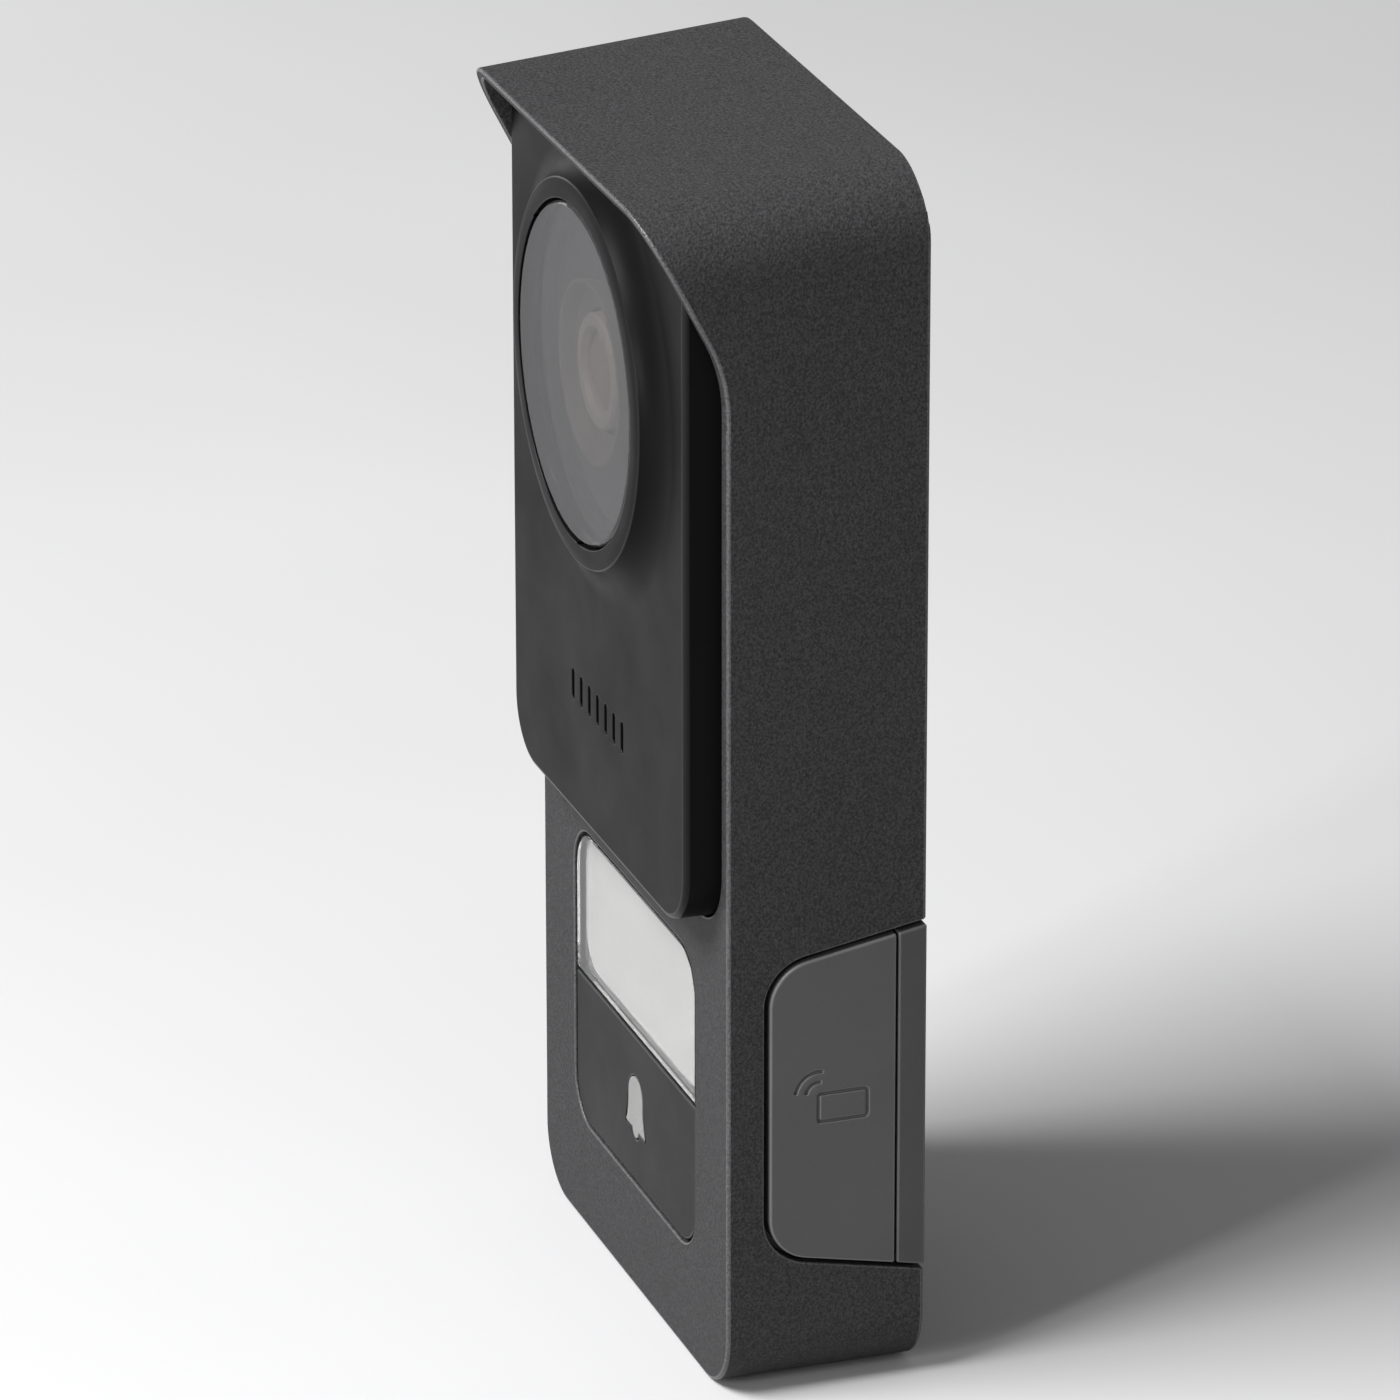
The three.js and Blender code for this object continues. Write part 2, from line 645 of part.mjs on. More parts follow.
/** Clamp screw: its low head lies in the hood's recess, its shank in the bracket's tab. */
function securityScrew() {
  const shank = post(SCREW_RADIUS, -82.3, -75.7, 0, CLAMP_DEPTH);
  const head = post(3.2, -83.8, -82.1, 0, CLAMP_DEPTH, 24);
  return cut(joined(head, shank), post(1.3, -85, -82.8, 0, CLAMP_DEPTH, 6));
}

// ---------------------------------------------------------------- camera module

/** Flare that rises from the module's face to the lens rim along a concave arc. */
function flareProfile() {
  const steps = 5;
  const sweep = THREE.MathUtils.degToRad(56);
  const points = [[0, MODULE_DEPTH - 1.4], [FLARE_RADIUS, MODULE_DEPTH - 1.4]];
  for (let i = 0; i <= steps; i += 1) {
    const angle = (sweep * i) / steps;
    points.push([
      FLARE_RADIUS - FLARE_BEND * Math.sin(angle),
      MODULE_DEPTH + FLARE_BEND * (1 - Math.cos(angle)),
    ]);
  }
  return [...points, [RIM_RADIUS + 0.3, RIM_DEPTH - 0.15], [RIM_RADIUS - 0.2, RIM_DEPTH], [0, RIM_DEPTH]];
}

function cameraFascia() {
  const back = HOOD_INSIDE + SEAT;
  const inside = MODULE_DEPTH - MODULE_WALL;
  const cap = cut(
    modulePrism(FIT, back - MODULE_BEVEL, MODULE_DEPTH, { bevel: MODULE_BEVEL, arcSteps: 3 }),
    block(-WIDTH, WIDTH, 0, back, -HEIGHT, HEIGHT),
    modulePrism(FIT + MODULE_WALL, 0, inside),
  );
  const flare = common(
    at(turned(flareProfile(), 36), 0, LENS_HEIGHT),
    modulePrism(FIT + MODULE_BEVEL, MODULE_DEPTH - 1.5, VISOR_DEPTH),
  );
  const root = inside + 0.3;
  const lensTube = at(turned([[22.8, 25.9], [24.4, 25.9], [24.4, root], [22.8, root]], 36), 0, LENS_HEIGHT);
  const soundTube = at(turned([[15.4, 28], [16.5, 28], [16.5, root], [15.4, root]]), 0, SPEAKER_HEIGHT);
  const cameraPosts = cornersOf(CAMERA_POST_OFFSET).map(([x, z]) => {
    return rod(1.9, 18.5, root, x, LENS_HEIGHT + z, 12);
  });
  const bosses = SCREW_PLACES.slice(0, 2).map(([x, z]) => rod(BOSS_RADIUS, BOSS_BACK, root, x, z));
  const threads = SCREW_PLACES.slice(0, 2).map(([x, z]) => rod(SCREW_HOLE, 0, 29, x, z));
  const seat = joined(
    rod(WINDOW_RADIUS + FIT, LEDGE_DEPTH, RIM_DEPTH + 1, 0, LENS_HEIGHT, 36),
    rod(LEDGE_RADIUS, 20, RIM_DEPTH, 0, LENS_HEIGHT, 36),
  );
  const slots = [];
  for (let i = 0; i < SLOT_COUNT; i += 1) {
    const x = (i - (SLOT_COUNT - 1) / 2) * SLOT_PITCH;
    const shape = rectangle(
      x - SLOT_WIDTH / 2,
      x + SLOT_WIDTH / 2,
      SPEAKER_HEIGHT - SLOT_LENGTH / 2,
      SPEAKER_HEIGHT + SLOT_LENGTH / 2,
      SLOT_WIDTH * 0.49,
    );
    slots.push(slab(shape, inside - 1, MODULE_DEPTH + 1, { arcSteps: 1 }));
  }
  const body = joined(cap, flare, lensTube, soundTube, ...cameraPosts, ...bosses);
  return cut(body, seat, ...threads, ...slots);
}

/** The four corners of a square with a given half side. */
function cornersOf(half) {
  return [[-half, -half], [half, -half], [half, half], [-half, half]];
}

function lensHolder() {
  const base = slab(rectangle(-7.5, 7.5, -7.5, 7.5, 1), CAMERA_BOARD.far + SEAT, 21.5);
  const body = joined(base, rod(8, 21, 27, 0, 0, 24));
  return cut(body, block(-4.7, 4.7, 18, 20.6, -4.7, 4.7), rod(6.3, 20, 28, 0, 0, 24));
}

function lensBarrel() {
  return turned([
    [6, 21], [6, 28.9], [7.85, 29.2], [7.85, 32.8], [7.45, 33.2], [6.1, 33.2],
    [5.7, 32.4], [5.7, 31], [4.2, 31], [4.2, 21],
  ], 24);
}

function cameraBoard() {
  const half = CAMERA_BOARD_SIZE / 2;
  const board = slab(rectangle(-half, half, -half, half, 3), CAMERA_BOARD.near, CAMERA_BOARD.far);
  const holes = cornersOf(CAMERA_POST_OFFSET).map(([x, z]) => rod(1.1, 16, 19, x, z, 12));
  return cut(board, ...holes);
}

function addCamera(parent) {
  const camera = new THREE.Group();
  camera.position.z = LENS_HEIGHT;
  parent.add(camera);
  piece(camera, 'lens_window', turned([
    [0, 34.6], [22.6, 34.6], [WINDOW_RADIUS, 34.9], [WINDOW_RADIUS, 35.8], [22.6, 36.2], [0, 36.2],
  ], 36), 'smokedWindow');
  piece(camera, 'window_gasket', turned([
    [21.3, 33.7], [22.9, 33.7], [22.9, 34.3], [21.3, 34.3],
  ], 24), 'rubber');
  piece(camera, 'window_mask', turned([
    [8.3, 30.2], [MASK_RADIUS, 30.2], [MASK_RADIUS, 31.1], [8.3, 31.1],
  ], 24), 'smokedWindow');
  piece(camera, 'light_baffle', turned([
    [8.4, 31.4], [12, 31.4], [12.6, 34.2], [11.9, 34.2], [11, 32.3], [8.4, 31.9],
  ], 24), 'rubber');
  piece(camera, 'lens_barrel', lensBarrel(), 'blackPlastic');
  piece(camera, 'front_element', turned([
    [0, 31.3], [5.4, 31.3], [5.4, 31.9], [4.2, 32.5], [2.2, 32.95], [0, 33.1],
  ]), 'lensGlass');
  piece(camera, 'lens_holder', lensHolder(), 'blackPlastic');
  piece(camera, 'image_sensor', block(-3.9, 3.9, 18.5, 19.4, -3.9, 3.9), 'ledLens');
  piece(camera, 'camera_board', cameraBoard(), 'greenBoard');
  piece(camera, 'led_board', turned([
    [9.2, 26.2], [MASK_RADIUS, 26.2], [MASK_RADIUS, 27.3], [9.2, 27.3],
  ], 24), 'whiteBoard');
  cornersOf(LED_CIRCLE / Math.SQRT2).forEach(([x, z], i) => {
    const dome = turned([[0, 27.6], [2.5, 27.6], [2.5, 28.6], [1.8, 29.6], [0, 29.95]], 12);
    piece(camera, `ir_led_${i + 1}`, dome, 'ledLens', [x, 0, z]);
  });
  const bend = new THREE.CubicBezierCurve(
    new THREE.Vector2(16.7, -19), new THREE.Vector2(10.5, -19),
    new THREE.Vector2(17, -25.5), new THREE.Vector2(10.7, -25.5),
  );
  piece(camera, 'camera_ribbon', sideSlab(strip(bend, 0.3, 12), -6, 6), 'flexFilm');
}

// ---------------------------------------------------------------- speaker

function addSpeaker(parent) {
  const speaker = new THREE.Group();
  speaker.position.z = SPEAKER_HEIGHT;
  parent.add(speaker);
  piece(speaker, 'speaker_gasket', turned([
    [12.4, 30.5], [14.8, 30.5], [14.8, 31.1], [12.4, 31.1],
  ]), 'rubber');
  piece(speaker, 'speaker_frame', turned([
    [14.9, 30.2], [14.9, 28.9], [10, 23.6], [5, 23.6], [5, 24.8], [9.3, 24.8], [13.4, 29.3], [13.4, 30.2],
  ]), 'steel');
  piece(speaker, 'speaker_cone', turned([
    [0, 27.4], [2.5, 27.1], [4, 26.4], [12.3, 30.1], [13, 30.1], [13, 29.6], [12.6, 29.6],
    [4.2, 25.9], [4.2, 23.4], [3.7, 23.4], [3.7, 26], [0, 26.5],
  ]), 'paperCone');
  piece(speaker, 'speaker_magnet', turned([
    [0, 18.6], [8.4, 18.6], [8.8, 19], [8.8, 23.3], [4.6, 23.3],
    [4.6, 20.2], [3.3, 20.2], [3.3, 23.3], [0, 23.3],
  ]), 'darkSteel');
}

// ---------------------------------------------------------------- nameplate and call button

function nameplateCover() {
  return joined(
    aboveSplit(slab(keyOutline(KEY_GAP), FLANGE_BACK, KEY_FACE)),
    aboveSplit(slab(keyOutline(-FLANGE_WIDTH), FLANGE_BACK, FLANGE_FRONT)),
  );
}

function callButton() {
  const inside = KEY_FACE - KEY_WALL;
  const cap = joined(
    belowSplit(slab(keyOutline(KEY_GAP), FLANGE_BACK, KEY_FACE)),
    belowSplit(slab(keyOutline(-FLANGE_WIDTH), FLANGE_BACK, FLANGE_FRONT)),
  );
  const hollow = common(
    slab(keyOutline(KEY_GAP + 1.4), 20, inside),
    block(-WIDTH, WIDTH, 0, WIDTH, -HEIGHT, KEY_SPLIT - KEY_GAP / 2 - 1.4),
  );
  const actuator = rod(1.8, 23.3, inside + 0.4, 0, SWITCH_HEIGHT);
  const bellHole = at(slab(bellOutline(0.12), inside - 1, KEY_FACE + 1), 0, BELL_HEIGHT);
  return cut(joined(cut(cap, hollow), actuator), bellHole);
}

function callSwitch() {
  const body = block(-3.1, 3.1, FRONT_BOARD.far + SEAT, 22, SWITCH_HEIGHT - 3.1, SWITCH_HEIGHT + 3.1);
  return cut(body, rod(1.9, 19.6, 23, 0, SWITCH_HEIGHT));
}

function buttonSeal() {
  const near = 21.7;
  const far = 23.3;
  return belowSplit(cut(
    slab(keyOutline(-FLANGE_WIDTH - 0.4), near, far),
    common(
      slab(keyOutline(0.7), near - 1, far + 1),
      block(-WIDTH, WIDTH, 0, WIDTH, -HEIGHT, KEY_SPLIT - KEY_GAP / 2 - 1.3),
    ),
  ));
}

function addKeys(parent) {
  piece(parent, 'nameplate_cover', nameplateCover(), 'clearCover');
  const card = slab(rectangle(-24.3, 24.3, -45.9, -25.6, 5.4), 23.7, 24.2);
  piece(parent, 'name_card', card, 'whiteCard');
  const diffuser = slab(rectangle(-24.4, 24.4, -45.9, -25.6, 5), 20.9, 23.4);
  piece(parent, 'nameplate_diffuser', diffuser, 'milkyPlastic');
  const ledBack = FRONT_BOARD.far + SEAT;
  piece(parent, 'nameplate_led', block(-2, 2, ledBack, 20.5, -37, -34), 'whiteLed');
  piece(parent, 'front_board', slab(
    rectangle(-26.5, 26.5, -70.5, -21.5, 2), FRONT_BOARD.near, FRONT_BOARD.far,
  ), 'greenBoard');
  piece(parent, 'call_switch', callSwitch(), 'blackPlastic');
  const bellLed = block(-1.6, 1.6, ledBack, 20.4, BELL_HEIGHT - 1.2, BELL_HEIGHT + 1.2);
  piece(parent, 'button_led', bellLed, 'whiteLed');
  piece(parent, 'bell_light_guide', rod(2.5, 20.8, 24.6, 0, BELL_HEIGHT), 'milkyPlastic');
  piece(parent, 'button_seal', buttonSeal(), 'silicone');
  piece(parent, 'call_button', callButton(), 'innerPlastic');
  const bell = slab(bellOutline(0), KEY_FACE - KEY_WALL - 0.3, KEY_FACE + 0.05);
  piece(parent, 'bell_window', bell, 'milkyPlastic', [0, 0, BELL_HEIGHT]);
  piece(parent, 'switch_plunger', rod(1.6, 20.7, 23, 0, SWITCH_HEIGHT), 'whiteLed');
}

// ---------------------------------------------------------------- electronics

function terminalBlock() {
  const halfWidth = (POLE_COUNT * POLE_PITCH) / 2;
  const bottom = TERMINAL_HEIGHT - 6;
  const top = TERMINAL_HEIGHT + 6;
  const shape = outline([[2.3, bottom + 1.5], [3.5, bottom], [8.7, bottom], [8.7, top], [2.3, top, 0.8]]);
  const wells = poleCentres().map((x) => rod(2.2, 0, 6, x, TERMINAL_HEIGHT + 2.6));
  const entries = poleCentres().map((x) => {
    return block(x - 1.6, x + 1.6, 4.6, 7.8, bottom - 1, TERMINAL_HEIGHT + 3);
  });
  return cut(sideSlab(shape, -halfWidth, halfWidth), ...wells, ...entries);
}

function poleCentres() {
  return Array.from({ length: POLE_COUNT }, (_, i) => (i - (POLE_COUNT - 1) / 2) * POLE_PITCH);
}

function terminalScrew() {
  const screw = turned([
    [0, 2.9], [1.6, 2.9], [1.9, 3.2], [1.9, 4.5], [1.1, 4.5], [1.1, 5.7], [0, 5.7],
  ], 12);
  return cut(screw, block(-3, 3, 2, 3.6, -0.35, 0.35));
}

function terminalSeal() {
  const outer = slab(rectangle(-14.2, 14.2, 13.8, 40.2, 3), 3.4, MAIN_BOARD.near - SEAT);
  return cut(outer, slab(rectangle(-12.6, 12.6, 15.4, 38.6, 2), 3, MAIN_BOARD.near));
}

function mainBoard() {
  const board = slab(rectangle(-30.5, 30.5, -66, 64, 3), MAIN_BOARD.near, MAIN_BOARD.far);
  const holes = BOARD_PINS.map(([x, z]) => rod(1, 8, 12, x, z, 12));
  return cut(board, ...holes);
}

function volumeTrimmer() {
  return turned([
    [0, MAIN_BOARD.near - SEAT], [3.3, MAIN_BOARD.near - SEAT], [3.3, 5.8],
    [2.1, 5.8], [2.1, 7.6], [0, 7.6],
  ], 16);
}

function volumeRotor() {
  const rotor = turned([[0, 5.6], [1.5, 5.6], [1.8, 5.9], [1.8, 7.3], [0, 7.3]], 16);
  return cut(rotor, block(-3, 3, 5, 6.3, -0.3, 0.3));
}

function addElectronics(parent) {
  const front = MAIN_BOARD.far + SEAT;
  piece(parent, 'main_board', mainBoard(), 'greenBoard');
  const connector = slab(rectangle(-9, 9, -30, -25, 0.5), front, 17.1, { arcSteps: 1 });
  piece(parent, 'board_connector', connector, 'whiteCard');
  piece(parent, 'terminal_block', terminalBlock(), 'greenPlastic');
  poleCentres().forEach((x, i) => {
    piece(parent, `terminal_screw_${i + 1}`, terminalScrew(), 'steel', [x, 0, TERMINAL_HEIGHT + 2.6]);
  });
  piece(parent, 'terminal_seal', terminalSeal(), 'rubber');
  const coarse = { arcSteps: 1, bevelSteps: 1 };
  const relay = slab(rectangle(-28, -17.5, -4, 15, 0.8), front, 21.5, { bevel: 0.4, ...coarse });
  piece(parent, 'relay', relay, 'bluePlastic');
  piece(parent, 'capacitor', turned([
    [0, front], [4, front], [4, 12], [3.8, 12.3], [4, 12.6], [4, 20.6], [3.5, 21], [0, 21],
  ], 16), 'blackPlastic', [23, 0, 10]);
  const shield = slab(rectangle(-14, 14, 38, 62, 1), front, 13, { bevel: 0.3, ...coarse });
  piece(parent, 'processor_shield', shield, 'tin');
  piece(parent, 'volume_trimmer', volumeTrimmer(), 'blackPlastic', [TRIMMER.x, 0, TRIMMER.z]);
  piece(parent, 'volume_rotor', volumeRotor(), 'milkyPlastic', [TRIMMER.x, 0, TRIMMER.z]);
  piece(parent, 'reader_board', sideSlab(rectangle(8.7, 18, -59.4, -26.6, 0.6), 34.2, 35.2), 'greenBoard');
  const coil = rectangle(9.4, 17.3, -58.6, -27.4, 1.6);
  coil.holes.push(rectangle(11, 15.7, -57, -29, 0.6));
  piece(parent, 'reader_coil', sideSlab(coil, 35.5, 36.1), 'copper');
  const sound = [MICROPHONE.x, -MICROPHONE.depth, 0];
  const boot = turned([[0.9, 79.3], [4.2, 79.3], [4.2, 74.4], [3.2, 74.4], [3.2, 77.6], [0.9, 77.6]], 16);
  const capsule = turned([[0, 77.3], [2.9, 77.3], [2.9, 74.9], [2.6, 74.7], [0, 74.7]], 16);
  piece(parent, 'microphone_boot', boot.rotateX(Math.PI / 2), 'rubber', sound);
  piece(parent, 'microphone', capsule.rotateX(Math.PI / 2), 'steel', sound);
}

// ---------------------------------------------------------------- assembly

const doorbell = new THREE.Group();

piece(doorbell, 'wall_bracket', wallBracket(), 'darkSteel');
piece(doorbell, 'security_screw', securityScrew(), 'steel');

const unit = new THREE.Group();
doorbell.add(unit);
piece(unit, 'hood', hood(), 'powderCoat');
piece(unit, 'inner_body', innerBody(), 'innerPlastic');
piece(unit, 'rear_casing', rearCasing(), 'innerPlastic');
piece(unit, 'body_seal', sealedRing(4.7, 0.5, 5, 6.6), 'silicone');
SCREW_PLACES.forEach(([x, z], i) => {
  piece(unit, `casing_screw_${i + 1}`, casingScrew(), 'steel', [x, 0, z]);
});
piece(unit, 'camera_fascia', cameraFascia(), 'satinBlack');
piece(unit, 'fascia_seal', cut(
  modulePrism(1.1, CHASSIS_FRONT - 0.4, HOOD_INSIDE),
  modulePrism(2, CHASSIS_FRONT - 2, BODY_DEPTH),
), 'silicone');
addCamera(unit);
addSpeaker(unit);
addKeys(unit);
addElectronics(unit);

export default doorbell;
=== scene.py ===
"""Looks of the video doorbell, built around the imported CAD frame.

Shapes are worked out in millimetres, as in the CAD model: +X right seen from the street, +Z up, and
a depth is the distance from the wall plane, so a point at depth d has Y = -d. as_object() turns a
finished mesh into metres.
"""
import json
import math

import bmesh
import bpy
from mathutils import Matrix, Vector

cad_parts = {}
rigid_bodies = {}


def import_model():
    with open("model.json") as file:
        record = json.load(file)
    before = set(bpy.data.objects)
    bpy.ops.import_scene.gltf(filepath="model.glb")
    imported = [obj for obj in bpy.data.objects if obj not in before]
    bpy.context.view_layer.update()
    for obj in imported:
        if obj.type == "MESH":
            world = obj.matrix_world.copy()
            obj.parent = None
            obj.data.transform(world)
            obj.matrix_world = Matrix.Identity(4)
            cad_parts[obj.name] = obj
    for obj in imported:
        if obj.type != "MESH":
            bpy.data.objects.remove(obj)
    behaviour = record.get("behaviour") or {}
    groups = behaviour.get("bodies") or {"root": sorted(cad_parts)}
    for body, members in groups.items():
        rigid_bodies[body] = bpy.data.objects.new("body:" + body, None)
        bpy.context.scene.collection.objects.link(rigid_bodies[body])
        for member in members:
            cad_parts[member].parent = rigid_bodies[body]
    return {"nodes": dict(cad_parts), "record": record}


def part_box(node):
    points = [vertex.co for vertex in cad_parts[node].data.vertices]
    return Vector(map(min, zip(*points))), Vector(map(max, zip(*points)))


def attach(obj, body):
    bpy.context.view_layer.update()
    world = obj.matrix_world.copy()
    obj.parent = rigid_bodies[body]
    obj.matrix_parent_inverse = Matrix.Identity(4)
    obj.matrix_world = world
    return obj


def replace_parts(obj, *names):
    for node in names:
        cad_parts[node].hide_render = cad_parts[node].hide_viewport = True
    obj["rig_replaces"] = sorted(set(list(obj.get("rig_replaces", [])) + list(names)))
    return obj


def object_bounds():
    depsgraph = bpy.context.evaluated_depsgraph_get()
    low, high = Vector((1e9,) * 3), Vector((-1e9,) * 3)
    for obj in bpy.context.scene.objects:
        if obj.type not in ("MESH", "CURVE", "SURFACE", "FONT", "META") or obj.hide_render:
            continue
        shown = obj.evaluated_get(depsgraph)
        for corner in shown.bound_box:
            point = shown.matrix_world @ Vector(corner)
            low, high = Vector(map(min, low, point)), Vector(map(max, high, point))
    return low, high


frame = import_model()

CAD_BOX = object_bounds()
MM = 0.001


def box_mm(node):
    """Lowest and highest corner of a CAD node, in millimetres."""
    low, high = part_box(node)
    return low / MM, high / MM


# ---------------------------------------------------------------- driving dimensions, as in the CAD

# Hood.
HOOD_LOW, HOOD_HIGH = box_mm("hood")
HALF_WIDTH = HOOD_HIGH.x
HOOD_BACK = -HOOD_HIGH.y  # wall to the hood's rear edge, which reaches round the bracket's plate
ROOF_BACK = 1.3  # the same at the roof, which nears the wall as the unit tilts
ROOF_FALL = 0.082  # fall of the roof for each mm forward
TOP = HOOD_HIGH.z + ROOF_FALL * ROOF_BACK
RELIEF_START = 77.3  # height where the rear edge begins to slope to the roof's
BOTTOM = HOOD_LOW.z
VISOR_DEPTH = 39.4  # wall to the visor's front edge
BODY_DEPTH = 28.2  # wall to the hood's front face
TOP_RADIUS = 10
BOTTOM_RADIUS = 9
SEAT = 0.3  # gap between two pieces that bear on each other
FIT = 0.35  # gap round a piece that drops into an opening
HOOD_WALL = 2.4
HOOD_INSIDE = BODY_DEPTH - 2.2
CEILING_FALL = 0.06  # fall of the roof's underside, so the visor thins towards its edge
SHOULDER = 60  # everything above this height follows the fall of the roof
WING_START = 55.5  # height where the side walls begin to sweep forward
WING_BEND_RADIUS = 22
WING_LEAN = math.radians(27)

# Camera block, with the lens rim and its flare, and the sound slots.
MODULE_BOTTOM = -17.55
MODULE_RADIUS = 8.75
MODULE_DEPTH = 33.2  # wall to the camera block's front face
MODULE_WALL = 1.8
MODULE_BEVEL = 0.8
LENS_HEIGHT = 49.5
WINDOW_RADIUS = 23
RIM_RADIUS = 25
RIM_DEPTH = 36.3
FLARE_RADIUS = 31.5  # where the flare round the lens meets the flat face
FLARE_BEND = 6.5
FLARE_SWEEP = math.radians(56)
LEDGE_RADIUS = 20.8
LEDGE_DEPTH = 33.4
SPEAKER_HEIGHT = 1.5
SLOT_COUNT = 7
SLOT_PITCH = 3.4
SLOT_WIDTH = 1.1
SLOT_LENGTH = 4.4

# Nameplate and call button, which share one opening.
KEY_HALF_WIDTH = 25.4
KEY_TOP = -24.7
KEY_BOTTOM = -68.6
KEY_RADIUS = 6.5
KEY_SPLIT = -46.7  # height of the gap between nameplate and call button
KEY_GAP = 0.5
KEY_FACE = 28  # wall to the faces of nameplate and button
KEY_WALL = 1.6
FLANGE_BACK = 24.5
FLANGE_WIDTH = 1.1
FLANGE_FRONT = HOOD_INSIDE - SEAT
SWITCH_HEIGHT = -63.5
BELL_HEIGHT = -57.2

# Inner body and rear casing, with the card-reader panel on the right side.
CHASSIS_INSET = HOOD_WALL + FIT
CHASSIS_WALL = 1.6
CHASSIS_BACK = 4.65
CHASSIS_FRONT = 25.6
CASING_SEAM = CHASSIS_BACK - SEAT
CASING_BACK = 1.3  # wall to the rear casing's flat face
CASING_WALL = 1.8
TONGUE_INSET = 5.55
TONGUE_WALL = 1.2
TONGUE_FRONT = 7
PAST_TONGUE = 12
PANEL_FRONT = 23
PANEL_TOP = -17.8
PANEL_TOP_FALL = 0.181
PANEL_BOTTOM = -68.7
PANEL_BOTTOM_RISE = 0.206
PANEL_RADIUS = 7
PANEL_GAP = 0.7
PANEL_PROUD = 0.3
PANEL_ROUNDING = 0.3
ENGRAVING = 0.35
MAIN_BOARD_BACK = 9
MAIN_BOARD_FRONT = 10.4
BOARD_PINS = ((-26.6, 56), (26.6, -18.5))
SCREW_PLACES = ((-29, 72), (29, 72), (-29, -75), (29, -75))
SCREW_HOLE = 1.8
BOSS_RADIUS = 3
BOSS_BACK = 21

# Wall bracket.
PLATE = 1
PLATE_HALF_WIDTH = 35.5
PLATE_BOTTOM = -81.1
PLATE_TOP = 76.7
PLATE_CORNER = 6.1
PLATE_GAP = 0.6  # between the plate's side and the panel's lip
PIVOT_HEIGHT = 74.5
PIVOT_DEPTH = 2.6
PIVOT_RADIUS = 0.9
HOOK_PLACES = (-20, 20)
HOOK_WIDTH = 8
CLAMP_DEPTH = 6  # depth of the clamp screw's axis
CABLE_HALF_WIDTH = 14
CABLE_BOTTOM = 14
CABLE_TOP = 40
WALL_SLOT_PLACES = ((-24, -52), (-24, 52), (24, -52), (24, 52))

# Pieces inside that an opening in the shell leads to.
TRIMMER_X, TRIMMER_Z = 22, 2
MICROPHONE_X, MICROPHONE_DEPTH = -18, 19

FAR = 200  # past everything


# ---------------------------------------------------------------- outlines

ARC_STEP = 0.45  # length of one straight piece of a rounded corner


def rounded(corners, closed=True, step=ARC_STEP):
    """Points of an outline through corners (x, y, radius), each rounded by a true arc."""
    points = []
    count = len(corners)
    for i, (x, y, radius) in enumerate(corners):
        point = Vector((x, y))
        at_end = not closed and i in (0, count - 1)
        if radius == 0 or at_end:
            points.append(point)
            continue
        before = (Vector(corners[i - 1][:2]) - point).normalized()
        after = (Vector(corners[(i + 1) % count][:2]) - point).normalized()
        half = before.angle(after) / 2
        centre = point + (before + after).normalized() * (radius / math.sin(half))
        start = point + before * (radius / math.tan(half)) - centre
        end = point + after * (radius / math.tan(half)) - centre
        first = math.atan2(start.y, start.x)
        turn = math.remainder(math.atan2(end.y, end.x) - first, math.tau)
        steps = max(3, round(abs(turn) * radius / step))
        for k in range(steps + 1):
            angle = first + turn * k / steps
            points.append(centre + radius * Vector((math.cos(angle), math.sin(angle))))
    return points


def softened(points, radius, closed):
    """Outline with its corners rounded, by less where a side is short."""
    share = 0.42  # of its shorter side, at most, that a round takes up
    corners = []
    count = len(points)
    for i, point in enumerate(points):
        if not closed and i in (0, count - 1):
            corners.append((point.x, point.y, 0))
            continue
        before = points[i - 1] - point
        after = points[(i + 1) % count] - point
        half = before.angle(after) / 2
        room = share * min(before.length, after.length) * math.tan(half)
        nearly_straight = half > math.radians(84)
        corners.append((point.x, point.y, 0 if nearly_straight else min(radius, room)))
    return rounded(corners, closed, step=radius / 2)


def rectangle(x0, x1, y0, y1, radius=0):
    return rounded([(x0, y0, radius), (x1, y0, radius), (x1, y1, radius), (x0, y1, radius)])


def arc_points(x, y, radius, start, end, steps):
    """Points on an arc, angles in radians."""
    angles = [start + (end - start) * k / steps for k in range(steps + 1)]
    return [Vector((x + radius * math.cos(a), y + radius * math.sin(a))) for a in angles]


def strip(centre_line, thickness):
    """Band with round ends along a row of points."""
    sides = [[], []]
    last = len(centre_line) - 1
    for i, point in enumerate(centre_line):
        along = (centre_line[min(i + 1, last)] - centre_line[max(i - 1, 0)]).normalized()
        aside = Vector((-along.y, along.x)) * thickness / 2
        sides[0].append(point + aside)
        sides[1].insert(0, point - aside)
    return sides[0] + sides[1]


# ---------------------------------------------------------------- solids

FACE, EDGE = 0, 1  # places of a piece's two finishes
SAME_POINT = 1e-4  # points of an outline nearer than this are one
SPECK = 2e-3  # edges shorter than this are what cutting left over
ON_AXIS = 1e-5  # points nearer to the axis than this lie on it


def mesh_of(bm, merge=True):
    """Mesh from a bmesh, its faces pointing out."""
    if merge:
        bmesh.ops.remove_doubles(bm, verts=bm.verts, dist=SAME_POINT)
    bmesh.ops.recalc_face_normals(bm, faces=bm.faces)
    mesh = bpy.data.meshes.new("shape")
    bm.to_mesh(mesh)
    bm.free()
    for _ in (FACE, EDGE):
        mesh.materials.append(None)
    return mesh


